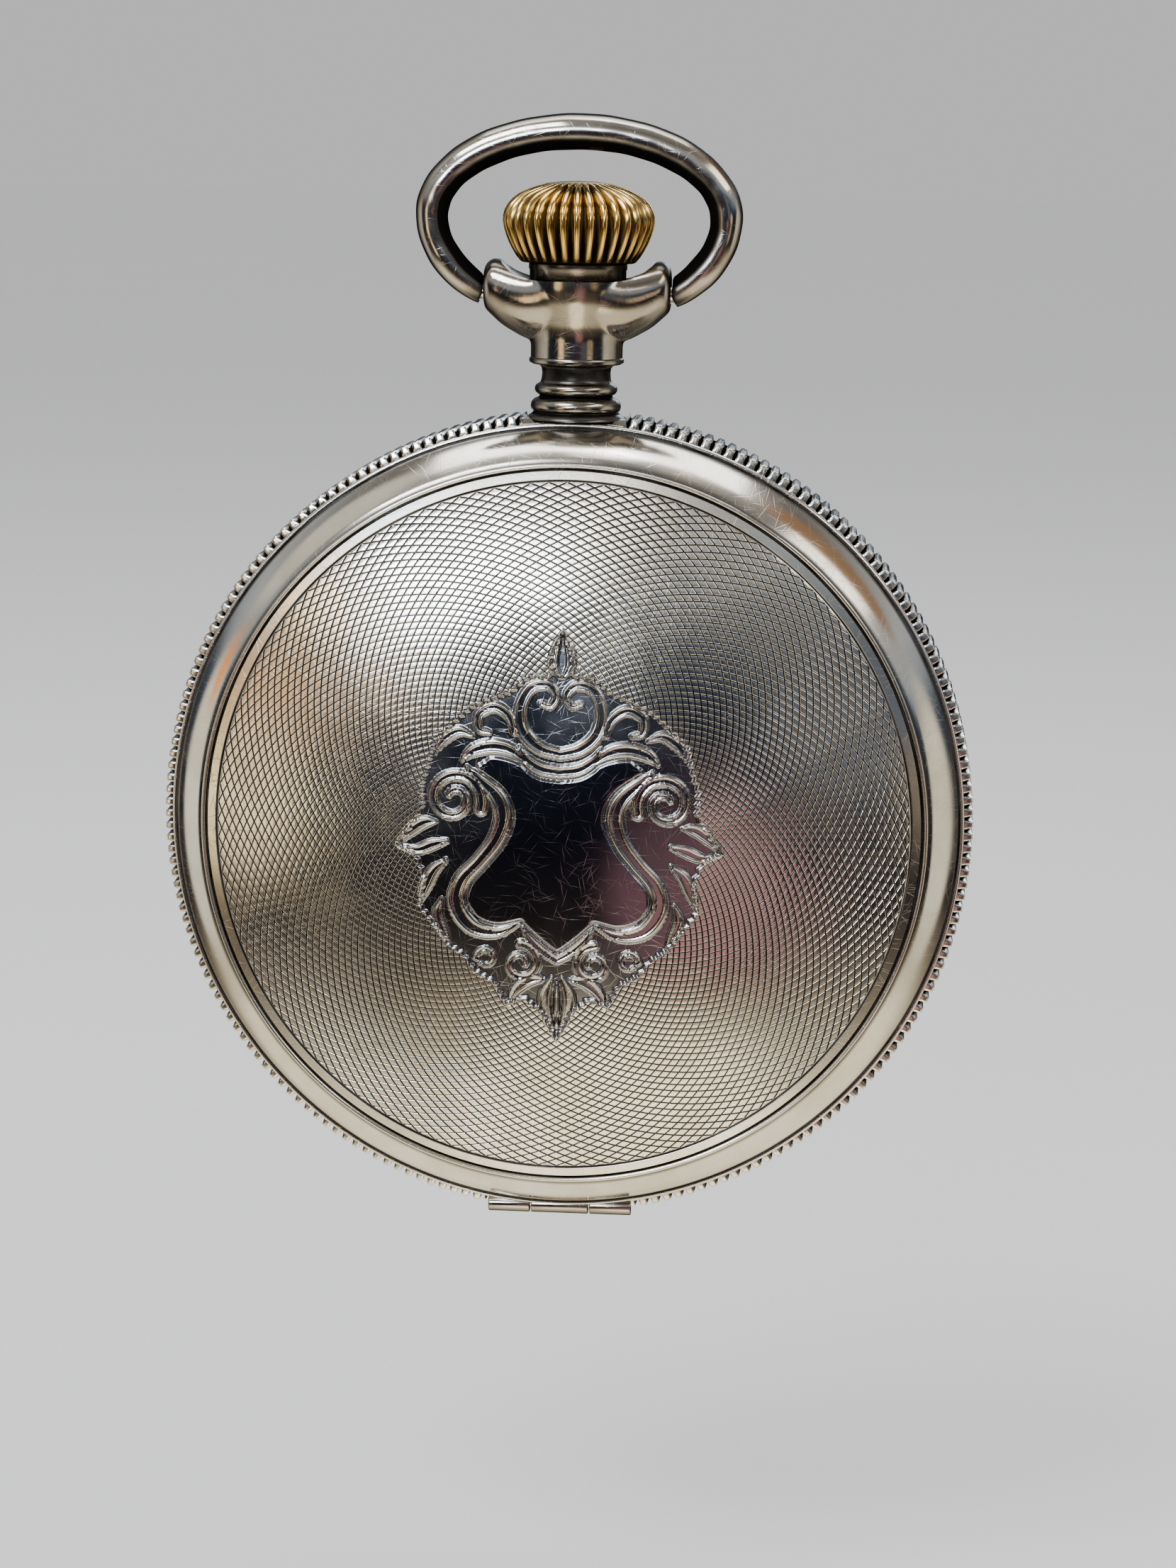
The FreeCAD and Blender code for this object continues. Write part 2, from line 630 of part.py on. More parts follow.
def centre_wheel():
    pinion_angle = heading(BARREL_AT, CENTRE)
    pinion_phase = meshed(barrel_phase(), BARREL_TEETH, pinion_angle, CENTRE_PINION)
    body = wheel(CENTRE_TEETH, CENTRE_MODULE, 0.55, 0.85, CENTRE, heading(CENTRE, THIRD_AT), 1.4)
    pinion = gear(CENTRE_PINION, BARREL_MODULE, -1.8, -1.2, CENTRE, pinion_phase)
    return fuse([body, pinion, disc(0.6, -1.8, 1.3, CENTRE), disc(0.3, -5.2, 2.3, CENTRE)])


def third_wheel():
    angle = heading(CENTRE, THIRD_AT)
    pinion_phase = meshed(angle, CENTRE_TEETH, angle, TRAIN_PINION)
    body = wheel(THIRD_TEETH, THIRD_MODULE, -0.9, -0.6, THIRD_AT, heading(THIRD_AT, FOURTH_AT), 1.0)
    pinion = gear(TRAIN_PINION, CENTRE_MODULE, 0.3, 1.1, THIRD_AT, pinion_phase)
    return fuse([body, pinion, arbor(THIRD_AT, -2.4, 1.9, 0.35, 0.1)])


def fourth_wheel():
    angle = heading(THIRD_AT, FOURTH_AT)
    pinion_phase = meshed(angle, THIRD_TEETH, angle, TRAIN_PINION)
    body = wheel(FOURTH_TEETH, FOURTH_MODULE, -0.1, 0.2, FOURTH_AT, heading(FOURTH_AT, ESCAPE_AT), 0.9)
    pinion = gear(TRAIN_PINION, THIRD_MODULE, -1.1, -0.4, FOURTH_AT, pinion_phase)
    seconds_pivot = disc(0.2, -4.5, -1.5, FOURTH_AT)
    arbor = disc(0.3, -1.7, 1.3, FOURTH_AT)
    back_pivot = disc(0.1, 1.2, 1.9, FOURTH_AT)
    return fuse([body, pinion, arbor, back_pivot, seconds_pivot])


def escape_wheel():
    angle = heading(FOURTH_AT, ESCAPE_AT)
    pinion_phase = meshed(angle, FOURTH_TEETH, angle, ESCAPE_PINION)
    points = []
    step = 2 * math.pi / ESCAPE_TEETH
    for i in range(ESCAPE_TEETH):
        base = i * step
        points.append(polar(ESCAPE_AT, 2.7, base))
        points.append(polar(ESCAPE_AT, ESCAPE_R, base + 0.30 * step))
        points.append(polar(ESCAPE_AT, ESCAPE_R - 0.12, base + 0.44 * step))
        points.append(polar(ESCAPE_AT, 2.7, base + 0.36 * step))
    rim = plate(points, -1.3, -1.0).cut(disc(2.2, -2, 0, ESCAPE_AT))
    pieces = [rim, disc(0.8, -1.3, -1.0, ESCAPE_AT)]
    for i in range(4):
        spoke = block(0, 2.4, -1.3, -1.0, -0.2, 0.2)
        spoke.rotate(V(0, 0, 0), V(0, -1, 0), 90 * i)
        spoke.translate(V(ESCAPE_AT[0], 0, ESCAPE_AT[1]))
        pieces.append(spoke)
    pinion = gear(ESCAPE_PINION, FOURTH_MODULE, -0.4, 0.5, ESCAPE_AT, pinion_phase)
    return fuse(pieces + [pinion, arbor(ESCAPE_AT, -2.4, 1.9, 0.25, 0.1)])


# Escapement


def stone_at(side):
    return polar(ESCAPE_AT, ESCAPE_R + 0.62, LEVER_ANGLE + side * STONE_SPREAD)


def pallet_fork():
    across = LEVER_ANGLE + math.pi / 2
    reach = distance(PALLET_AT, BALANCE_AT) - 2.05
    body = [disc(0.55, -1.3, -1.0, PALLET_AT)]
    for side in (-1, 1):
        end = stone_at(side)
        aim = heading(PALLET_AT, end)
        corners = [
            polar(PALLET_AT, 0.3, aim + math.pi / 2), polar(end, 0.24, aim + math.pi / 2),
            polar(end, 0.24, aim - math.pi / 2), polar(PALLET_AT, 0.3, aim - math.pi / 2),
        ]
        body.append(plate(corners, -1.3, -1.0))
        horn_root = polar(PALLET_AT, reach - 1.1, LEVER_ANGLE)
        horn_tip = polar(polar(PALLET_AT, reach, LEVER_ANGLE), 0.42 * side, across)
        body.append(plate([
            horn_root, polar(horn_root, 0.28 * side, across),
            horn_tip, polar(horn_tip, -0.16 * side, across),
        ], -1.3, -1.0))
    lever_end = polar(PALLET_AT, reach - 0.8, LEVER_ANGLE)
    body.append(plate([
        polar(PALLET_AT, 0.26, across), polar(lever_end, 0.2, across),
        polar(lever_end, -0.2, across), polar(PALLET_AT, -0.26, across),
    ], -1.3, -1.0))
    return fuse(body + [arbor(PALLET_AT, -2.4, 1.05, 0.22, 0.1)])


def pallet_stones():
    stones = []
    for side in (-1, 1):
        end = stone_at(side)
        inward = heading(end, ESCAPE_AT)
        stone = block(0.29, 0.37, -1.28, -1.02, -0.15, 0.15)
        stone.rotate(V(0, 0, 0), V(0, -1, 0), math.degrees(inward))
        stone.translate(V(end[0], 0, end[1]))
        stones.append(stone)
    return stones


def balance_wheel():
    rim = ring(BALANCE_R - 0.75, BALANCE_R, 1.6, 2.3, BALANCE_AT)
    arm = block(-BALANCE_R + 0.5, BALANCE_R - 0.5, 1.85, 2.15, -0.5, 0.5)
    arm.rotate(V(0, 0, 0), V(0, -1, 0), 20)
    arm.translate(V(BALANCE_AT[0], 0, BALANCE_AT[1]))
    body = fuse([rim, arm, disc(1.3, 1.85, 2.15, BALANCE_AT)])
    return cut(body, [disc(0.42, 0, 4, BALANCE_AT)] + [balance_screw(i, 0.20, 0.0) for i in range(14)])


def balance_screw(i, shank_r, head_r):
    angle = math.radians(20 + 360 / 28 + i * 360 / 14)
    start = polar(BALANCE_AT, BALANCE_R - 0.5, angle)
    along = V(math.cos(angle), 0, math.sin(angle))
    shank = Part.makeCylinder(shank_r, 0.6, V(start[0], 1.95, start[1]), along)
    if head_r == 0:
        return shank
    head_start = polar(BALANCE_AT, BALANCE_R + 0.02, angle)
    return fuse([shank, Part.makeCylinder(head_r, 0.3, V(head_start[0], 1.95, head_start[1]), along)])


def balance_screws():
    return [balance_screw(i, 0.18, 0.33) for i in range(14)]


def balance_staff():
    staff = [
        disc(0.4, 1.0, 2.4, BALANCE_AT),
        disc(0.25, -1.7, 2.9, BALANCE_AT),
        disc(0.1, -2.4, 3.7, BALANCE_AT),
    ]
    roller = disc(1.75, -0.9, -0.6, BALANCE_AT)
    jewel_hole = disc(0.17, -2, 0, roller_jewel_at())
    return fuse(staff + [roller]).cut(jewel_hole)


def roller_jewel_at():
    return polar(BALANCE_AT, 1.45, LEVER_ANGLE + math.pi)


def roller_jewel():
    return disc(0.16, -1.3, -0.62, roller_jewel_at())


def hairspring():
    return spiral(0.7, 4.4, 9, 0.06, 2.55, 2.8, BALANCE_AT)


def regulator():
    body = ring(1.0, 1.8, 3.85, 4.15, BALANCE_AT)
    tail = plate([(1.2, -13.0), (-4.4, -12.85), (-4.4, -12.15), (1.2, -12.0)], 3.85, 4.05)
    tail = tail.translated(V(1.3, 0, 0))
    return fuse([body, tail]).cut(disc(1.0, 3, 5, BALANCE_AT))


# Motion works, dial and hands


def cannon_pinion():
    teeth = gear(CANNON_TEETH, MOTION_MODULE, -3.35, -3.05, CENTRE, CANNON_PHASE)
    body = fuse([teeth, disc(0.55, -4.95, -3.05, CENTRE)])
    return body.cut(disc(0.31, -6, 0, CENTRE))


def minute_wheel():
    phase = meshed(CANNON_PHASE, CANNON_TEETH, MINUTE_ANGLE, MINUTE_WHEEL_TEETH)
    large = gear(MINUTE_WHEEL_TEETH, MOTION_MODULE, -3.3, -3.1, MINUTE_AT, phase)
    small = gear(MINUTE_PINION, HOUR_MODULE, -3.62, -3.25, MINUTE_AT, MINUTE_ANGLE + math.pi)
    return fuse([large, small]).cut(disc(0.4, -5, 0, MINUTE_AT))


def hour_wheel():
    phase = meshed(MINUTE_ANGLE + math.pi, MINUTE_PINION, MINUTE_ANGLE + math.pi, HOUR_TEETH)
    teeth = gear(HOUR_TEETH, HOUR_MODULE, -3.6, -3.42, CENTRE, phase)
    body = fuse([teeth, disc(0.95, -4.6, -3.42, CENTRE)])
    return body.cut(disc(0.6, -6, 0, CENTRE))


def dial():
    body = disc(21.4, DIAL_FRONT, DIAL_BACK)
    sunk = disc(5.0, DIAL_FRONT - 1, DIAL_FRONT + 0.12, FOURTH_AT)
    feet = [disc(0.5, DIAL_BACK - 0.1, PLATE_FRONT - 0.05, at) for at in DIAL_FEET]
    return fuse([cut(body, [sunk, disc(1.1, -6, 0, CENTRE), disc(0.4, -6, 0, FOURTH_AT)])] + feet)


def dial_screws():
    screws = []
    for at in DIAL_FEET:
        angle = heading(CENTRE, at)
        head = polar(CENTRE, 20.4, angle)
        along = V(math.cos(angle), 0, math.sin(angle))
        screws.append(Part.makeCylinder(0.25, 0.8, V(head[0], -3.35, head[1]), along))
    return screws


def hand(length, tail, width, y0, y1, at, hub_r, bore_r, angle):
    """A pear-tipped hand pointing along an angle in degrees from +X."""
    swell = 0.72 * length
    outline = [
        (-tail, -width / 2), (swell * 0.8, -width / 2), (swell, -width), (length, 0), (swell, width),
        (swell * 0.8, width / 2), (-tail, width / 2),
    ]
    body = fuse([plate(outline, y0, y1), disc(hub_r, y0, y1)]).cut(disc(bore_r, y0 - 1, y1 + 1))
    body.rotate(V(0, 0, 0), V(0, -1, 0), angle)
    body.translate(V(at[0], 0, at[1]))
    return body


def hour_hand():
    return hand(11.0, 1.5, 0.9, -4.55, -4.4, CENTRE, 1.5, 0.96, 235)


def minute_hand():
    return hand(16.5, 2.5, 0.7, -4.92, -4.78, CENTRE, 1.2, 0.56, 120)


def seconds_hand():
    return hand(4.1, 1.4, 0.22, -4.42, -4.3, FOURTH_AT, 0.5, 0.21, -30)


def as_group(made):
    return Part.makeCompound(made) if isinstance(made, list) else made


PARTS = {
    "case_band": case_band, "pendant": pendant, "pendant_sleeve": pendant_sleeve, "bow": bow,
    "crown": crown, "crown_stem": crown_stem, "front_cover": front_cover, "back_cover": back_cover,
    "front_hinge_pin": lambda: hinge_pin(-HINGE_Y), "back_hinge_pin": lambda: hinge_pin(HINGE_Y),
    "dust_cover": dust_cover, "dust_hinge_pin": dust_hinge_pin, "bezel": bezel, "crystal": crystal,
    "lift_spring": lift_spring, "lid_catch": lid_catch, "case_screws": case_screws,
    "main_plate": main_plate, "barrel_bridge": barrel_bridge, "train_bridge": train_bridge,
    "balance_cock": balance_cock, "pallet_cock": pallet_cock, "plate_screws": plate_screws,
    "jewels": jewels, "winding_pinion": winding_pinion, "crown_wheel": crown_wheel,
    "crown_wheel_screw": crown_wheel_screw, "ratchet_wheel": ratchet_wheel, "ratchet_screw": ratchet_screw,
    "barrel_arbor": barrel_arbor, "click": click, "click_spring": click_spring,
    "setting_lever": setting_lever, "mainspring_barrel": mainspring_barrel, "barrel_cover": barrel_cover,
    "mainspring": mainspring, "centre_wheel": centre_wheel, "third_wheel": third_wheel,
    "fourth_wheel": fourth_wheel, "escape_wheel": escape_wheel, "pallet_fork": pallet_fork,
    "pallet_stones": pallet_stones, "balance_wheel": balance_wheel, "balance_screws": balance_screws,
    "balance_staff": balance_staff, "roller_jewel": roller_jewel, "hairspring": hairspring,
    "regulator": regulator, "cannon_pinion": cannon_pinion, "minute_wheel": minute_wheel,
    "hour_wheel": hour_wheel, "dial": dial, "dial_screws": dial_screws, "hour_hand": hour_hand,
    "minute_hand": minute_hand, "seconds_hand": seconds_hand,
}

os.makedirs("parts", exist_ok=True)
for name, maker in PARTS.items():
    shape = as_group(maker())
    shape.translate(V(0, 0, BOTTOM_TO_CENTRE))
    shape.exportStep("parts/" + name + ".step")
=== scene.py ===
"""Looks for the hunter pocket watch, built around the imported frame. Lengths below are in millimetres
about the centre of the case: x right, y from the lid to the back, z up. mm() turns them into the frame."""
import math

import bmesh
import bpy
import numpy as np
from mathutils import Matrix, Vector


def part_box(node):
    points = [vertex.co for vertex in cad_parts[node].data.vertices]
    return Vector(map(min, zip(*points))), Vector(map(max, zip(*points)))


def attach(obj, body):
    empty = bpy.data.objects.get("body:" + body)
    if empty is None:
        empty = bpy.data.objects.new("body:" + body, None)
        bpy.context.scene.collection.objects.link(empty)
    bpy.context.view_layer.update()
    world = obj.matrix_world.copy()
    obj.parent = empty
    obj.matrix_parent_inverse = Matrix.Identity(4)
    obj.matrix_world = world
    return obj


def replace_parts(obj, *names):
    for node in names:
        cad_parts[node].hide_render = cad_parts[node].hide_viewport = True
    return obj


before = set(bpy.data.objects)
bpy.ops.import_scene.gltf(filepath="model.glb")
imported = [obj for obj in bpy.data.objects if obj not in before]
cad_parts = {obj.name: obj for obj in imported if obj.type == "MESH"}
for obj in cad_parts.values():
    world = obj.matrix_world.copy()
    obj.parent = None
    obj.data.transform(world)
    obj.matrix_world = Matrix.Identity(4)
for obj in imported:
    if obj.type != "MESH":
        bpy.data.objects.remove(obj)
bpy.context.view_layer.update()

BAND_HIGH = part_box("case_band")[1]
CASE_R = BAND_HIGH.x * 1000
CENTRE_Z = BAND_HIGH.z * 1000 - CASE_R
APEX = -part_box("front_cover")[0].y * 1000
EAR_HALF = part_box("pendant")[1].x * 1000

# Covers, from the rim inwards
EDGE_R = CASE_R - 0.6
EDGE_Y = 2.55
DOME_R = 24.9
DOME_EDGE_Y = 6.0
FIELD_R = 23.66
SHELL = 0.6
BACK_FLAT_R = 7.0
RIM_AROUND = 384

# Engine turning
ROW = 0.52
CELLS = 120
PER_CELL = 8
PER_ROW = 6
AROUND = CELLS * PER_CELL
GROOVE_DARK = 0.045
GROOVE_END = 0.13

# Band
REEDS = 206
REED_DEPTH = 0.55
PER_REED = 10
FLANGE_Y = 2.45
GAP_BOTTOM_R = CASE_R - 0.705
PENDANT_TURN = 0.128

# Hinges, pendant and crown
HINGE_Y = 2.6
HINGE_Z = -27.45
KNUCKLE_R = 0.6
PIN_BORE = 0.33
DUST_HINGE = (4.35, -24.25)
DUST_KNUCKLE_R = 0.45
DUST_BORE = 0.25
EAR_Z = 36.0
CROWN_RIBS = 33

TAU = 2 * math.pi


def mm(points):
    """Millimetres about the case centre to metres in the frame."""
    points = np.asarray(points, float).reshape(-1, 3)
    return (points + np.array([0.0, 0.0, CENTRE_Z])) / 1000.0


def put(name, data):
    """A new object in the scene."""
    thing = bpy.data.objects.new(name, data)
    bpy.context.scene.collection.objects.link(thing)
    return thing


def outward_mesh(name, points, faces):
    """A mesh whose faces all look outwards."""
    mesh = bpy.data.meshes.new(name)
    mesh.from_pydata(np.asarray(points).tolist(), [], faces if isinstance(faces, list) else faces.tolist())
    edit = bmesh.new()
    edit.from_mesh(mesh)
    bmesh.ops.recalc_face_normals(edit, faces=edit.faces)
    edit.to_mesh(mesh)
    edit.free()
    return mesh


def make(name, points, faces, material, body, slot="case_silver", smooth=True, attributes=None):
    """A mesh object from points in millimetres, riding on a body."""
    mesh = outward_mesh(name, mm(points), faces)
    for key, values in (attributes or {}).items():
        layer = mesh.attributes.new(key, "FLOAT", "POINT")
        layer.data.foreach_set("value", np.asarray(values, np.float32))
    mesh.polygons.foreach_set("use_smooth", [smooth] * len(mesh.polygons))
    mesh.materials.append(material)
    piece = put(name, mesh)
    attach(piece, body)
    return piece


def sharp_by_angle(piece, degrees):
    """Smooth faces, with hard edges where the surface turns sharply."""
    piece.data.polygons.foreach_set("use_smooth", [True] * len(piece.data.polygons))
    piece.data.set_sharp_from_angle(angle=math.radians(degrees))
    return piece


def ring_faces(rows, around):
    """Quads between rows of points all round, with the last row joined to the first."""
    row = np.arange(rows)[:, None]
    col = np.arange(around)[None, :]
    next_row = (row + 1) % rows
    next_col = (col + 1) % around
    return np.stack([row * around + col, row * around + next_col, next_row * around + next_col,
                     next_row * around + col], -1).reshape(-1, 4)


def lathe(profile, around, axis="y", radius_of=None, centre=(0.0, 0.0, 0.0)):
    """Points and faces of a closed (r, along) outline turned about an axis. radius_of may shape r."""
    profile = np.asarray(profile, float)
    angle = np.arange(around) * 2 * math.pi / around
    r = np.repeat(profile[:, 0][:, None], around, 1)
    along = np.repeat(profile[:, 1][:, None], around, 1)
    if radius_of is not None:
        r = radius_of(r, along, angle[None, :])
    a, b = r * np.cos(angle), r * np.sin(angle)
    points = np.stack({"x": (along, a, b), "y": (a, along, b), "z": (a, b, along)}[axis], -1)
    return points.reshape(-1, 3) + np.array(centre), ring_faces(len(profile), around)


def stacked(parts):
    """Several meshes as one list of points and one of faces."""
    points, faces = [], []
    start = 0
    for part_points, part_faces in parts:
        points.append(np.asarray(part_points))
        faces += [[int(i) + start for i in face] for face in part_faces]
        start += len(part_points)
    return np.vstack(points), faces


def arc(cx, cy, radius, start, end, steps):
    """Points of a round stretch of an outline, angles in degrees."""
    turn = np.radians(np.linspace(start, end, steps + 1))
    return [(cx + radius * math.cos(t), cy + radius * math.sin(t)) for t in turn]


# Materials

# Near black, for patina in the engraving and for painted shade in gaps, creases and under parts.
OXIDE_AND_PAINTED_SHADE = (0.008, 0.007, 0.0065, 1)
GROOVE_COLOUR = (0.030, 0.026, 0.022, 1)
HAIRLINE_TURNS = (0.0, 0.35, 0.9, 1.3, 1.75, 2.2, 2.65, 2.95)
HAIRLINE_SCALE = (0.012, 0.0003, 1.0)
HAIRLINE_WIDTH = 0.075


def times(colour, *factors):
    """A colour made darker, by one factor or by one for each channel."""
    factors = factors * 3 if len(factors) == 1 else factors
    return tuple(c * f for c, f in zip(colour, factors)) + (1,)


class Nodes:
    """Short calls for building one node tree."""

    def __init__(self, tree):
        self.tree = tree
        tree.nodes.clear()

    def add(self, kind, **values):
        node = self.tree.nodes.new(kind)
        for key, value in values.items():
            if key in node.inputs:
                node.inputs[key].default_value = value
            else:
                setattr(node, key, value)
        return node

    def feed(self, value, socket):
        """Links an output to a socket, or sets the socket to a plain value."""
        if isinstance(value, bpy.types.NodeSocket):
            self.tree.links.new(value, socket)
        else:
            socket.default_value = value

    def calc(self, kind, *values):
        node = self.add("ShaderNodeMath", operation=kind)
        for value, socket in zip(values, node.inputs):
            self.feed(value, socket)
        return node.outputs[0]

    def ramp(self, source, stops):
        node = self.add("ShaderNodeValToRGB")
        while len(node.color_ramp.elements) < len(stops):
            node.color_ramp.elements.new(0.5)
        for element, (place, value) in zip(node.color_ramp.elements, stops):
            element.position = place
            element.color = value if isinstance(value, tuple) else (value, value, value, 1)
        self.feed(source, node.inputs[0])
        return node.outputs[0]

    def mix(self, share, a, b):
        node = self.add("ShaderNodeMix", data_type="RGBA")
        for value, i in ((share, 0), (a, 6), (b, 7)):
            self.feed(value, node.inputs[i])
        return node.outputs[2]

    def noise(self, place, **values):
        node = self.add("ShaderNodeTexNoise", **values)
        self.feed(place, node.inputs["Vector"])
        return node.outputs[0]

    def painted(self, key):
        """A value stored on the mesh's points."""
        return self.add("ShaderNodeAttribute", attribute_name=key).outputs["Fac"]

    def place(self):
        return self.add("ShaderNodeTexCoord").outputs["Object"]

    def split(self, vector):
        node = self.add("ShaderNodeSeparateXYZ")
        self.feed(vector, node.inputs[0])
        return node.outputs

    def mapped(self, vector, kind="POINT", **values):
        node = self.add("ShaderNodeMapping", vector_type=kind, **values)
        self.feed(vector, node.inputs["Vector"])
        return node.outputs[0]


class Surface(Nodes):
    """A material with one principled shader."""

    def __init__(self, name):
        self.material = bpy.data.materials.new(name)
        self.material.use_nodes = True
        super().__init__(self.material.node_tree)
        out = self.add("ShaderNodeOutputMaterial")
        self.shader = self.add("ShaderNodeBsdfPrincipled")
        self.feed(self.shader.outputs[0], out.inputs[0])

    def set(self, **values):
        """Feeds the shader's inputs. An underscore stands for a space."""
        for key, value in values.items():
            self.feed(value, self.shader.inputs[key.replace("_", " ")])
        return self.material

    def matt_where(self, oxide_and_painted_shade):
        """Where patina and painted shade are thick the metal doesn't shine: it is neither metallic nor
        glossy.
        """
        bare = self.ramp(oxide_and_painted_shade, [(0.60, 1.0), (0.92, 0.0)])
        self.set(Metallic=bare, Specular_IOR_Level=self.calc("MULTIPLY", bare, 0.5))


def scratches(n, place, turn):
    """Short straight hairlines: the middles of long thin cells, seen from the front."""
    split = n.split(place)
    flat = n.add("ShaderNodeCombineXYZ")
    n.feed(split[0], flat.inputs[0])
    n.feed(split[2], flat.inputs[1])
    stretched = n.mapped(flat.outputs[0], "TEXTURE", Rotation=(0.0, 0.0, turn), Scale=HAIRLINE_SCALE,
                         Location=(0.1 * turn, 0.07 * turn, 0.0))
    cells = n.add("ShaderNodeTexVoronoi", voronoi_dimensions="2D", Scale=1.0)
    n.feed(stretched, cells.inputs["Vector"])
    return n.ramp(cells.outputs["Distance"], [(0.0, 1.0), (HAIRLINE_WIDTH, 0.0)])


def engine_lines(n, place):
    """How far into an engine-turned groove a point is: 1 on the line, 0 on the lands."""
    split = n.split(place)
    x = split[0]
    z = n.calc("SUBTRACT", split[2], CENTRE_Z / 1000)
    r = n.calc("POWER", n.calc("ADD", n.calc("MULTIPLY", x, x), n.calc("MULTIPLY", z, z)), 0.5)
    u = n.calc("MULTIPLY", n.calc("ARCTAN2", z, x), CELLS / TAU)
    v = n.calc("MULTIPLY", n.calc("SUBTRACT", FIELD_R / 1000, r), 1000 / ROW)
    waves = [n.calc("PINGPONG", n.calc(kind, u, v), 0.5) for kind in ("ADD", "SUBTRACT")]
    return n.ramp(n.calc("MINIMUM", *waves), [(GROOVE_DARK, 1.0), (GROOVE_END, 0.0)])


def silver(name, tint=(0.74, 0.72, 0.68), rough=0.2, scratch=0.5, tarnish=0.5, with_oxide_and_painted_shade=True, shield=False,
           edge=0.0):
    """Worn coin silver: hairlines, a patchy haze, patina and painted shade, and painted dark reflection on
    turned-away edges.
    """
    n = Surface(name)
    place = n.place()
    cloud = n.noise(place, Scale=190.0, Detail=5.0, Roughness=0.6)
    speck = n.noise(place, Scale=2600.0, Detail=3.0, Roughness=0.6)
    lines = scratches(n, place, HAIRLINE_TURNS[0])
    for turn in HAIRLINE_TURNS[1:]:
        lines = n.calc("MAXIMUM", lines, scratches(n, place, turn))
    haze = n.ramp(cloud, [(0.38, 0.0), (0.68, 1.0)])
    fleck = n.ramp(speck, [(0.63, 0.0), (0.75, 1.0)])
    colour = n.mix(n.calc("MULTIPLY", haze, tarnish), tint + (1,), times(tint, 0.74, 0.68, 0.58))
    colour = n.mix(n.calc("MULTIPLY", fleck, 0.35 * tarnish), colour, times(tint, 0.34, 0.30, 0.25))
    roughness = n.calc("MULTIPLY_ADD", haze, 0.10, rough)
    roughness = n.calc("ADD", roughness, n.calc("MULTIPLY", lines, 0.22 * scratch))
    n.set(Metallic=1.0)
    if with_oxide_and_painted_shade:
        # Patina and painted shade, stored on the mesh's points, turn the silver near black and matt.
        oxide_and_painted_shade = n.painted("oxide_and_painted_shade")
        oxide_and_painted_shade = n.calc("MULTIPLY", oxide_and_painted_shade, n.calc("MULTIPLY_ADD", cloud, 0.5, 0.72))
        oxide_and_painted_shade = n.calc("MINIMUM", oxide_and_painted_shade, 1.0)
        if edge:
            # Painted dark reflection: edges turned away from the view darken towards black, by the edge
            # share.
            facing = n.add("ShaderNodeLayerWeight", Blend=0.5).outputs["Facing"]
            painted_dark_edge_reflection = n.calc("MULTIPLY", n.ramp(facing, [(0.20, 0.0), (0.62, 1.0)]), edge)
            oxide_and_painted_shade = n.calc("MAXIMUM", oxide_and_painted_shade, painted_dark_edge_reflection)
        colour = n.mix(n.ramp(oxide_and_painted_shade, [(0.0, 0.0), (0.85, 1.0)]), colour, OXIDE_AND_PAINTED_SHADE)
        roughness = n.calc("ADD", roughness, n.calc("MULTIPLY", oxide_and_painted_shade, 0.16))
        n.matt_where(oxide_and_painted_shade)
    if shield:
        grooves = n.calc("MULTIPLY", engine_lines(n, place), n.painted("turned"))
        colour = n.mix(grooves, colour, GROOVE_COLOUR)
        # Painted reflection: polished parts are painted dark blue-grey, as the dark surroundings seen in the
        # polish, with pale hairlines.
        polished = n.painted("mirror")
        painted_reflection_with_hairlines = n.mix(lines, (0.24, 0.25, 0.285, 1), (0.80, 0.80, 0.82, 1))
        colour = n.mix(n.calc("MULTIPLY", polished, 0.94), colour, painted_reflection_with_hairlines)
        roughness = n.calc("ADD", roughness, n.calc("MULTIPLY", polished, -0.06))
    height = n.calc("MULTIPLY", lines, -0.5 * scratch)
    height = n.calc("ADD", height, n.calc("MULTIPLY", cloud, 0.6))
    bump = n.add("ShaderNodeBump", Strength=0.25, Distance=0.00003)
    n.feed(height, bump.inputs["Height"])
    if shield:
        cuts = n.add("ShaderNodeBump", Strength=0.5, Distance=0.00005, invert=True)
        n.feed(grooves, cuts.inputs["Height"])
        n.feed(cuts.outputs[0], bump.inputs["Normal"])
    return n.set(Base_Color=colour, Roughness=roughness, Normal=bump.outputs[0])


def simple_metal(name, colour, rough, grain=0.0, with_oxide_and_painted_shade=False):
    """Polished or grained metal with a slight variation in tone, for screws, wheels and steelwork."""
    n = Surface(name)
    place = n.place()
    cloud = n.noise(place, Scale=420.0, Detail=4.0)
    tone = n.mix(n.ramp(cloud, [(0.35, 0.0), (0.7, 1.0)]), colour + (1,), times(colour, 0.72))
    n.set(Metallic=1.0)
    if with_oxide_and_painted_shade:
        # Painted shade, stored on the mesh's points, takes the metal towards black and matt.
        shade = n.painted("oxide_and_painted_shade")
        tone = n.mix(shade, tone, times(colour, 0.02))
        n.matt_where(shade)
    fine = n.noise(n.mapped(place, Scale=(9000.0, 400.0, 1200.0)), Scale=1.0, Detail=2.0)
    bump = n.add("ShaderNodeBump", Strength=0.1 + grain, Distance=0.00002)
    n.feed(fine, bump.inputs["Height"])
    roughness = n.calc("MULTIPLY_ADD", cloud, 0.15, rough)
    return n.set(Base_Color=tone, Roughness=roughness, Normal=bump.outputs[0])


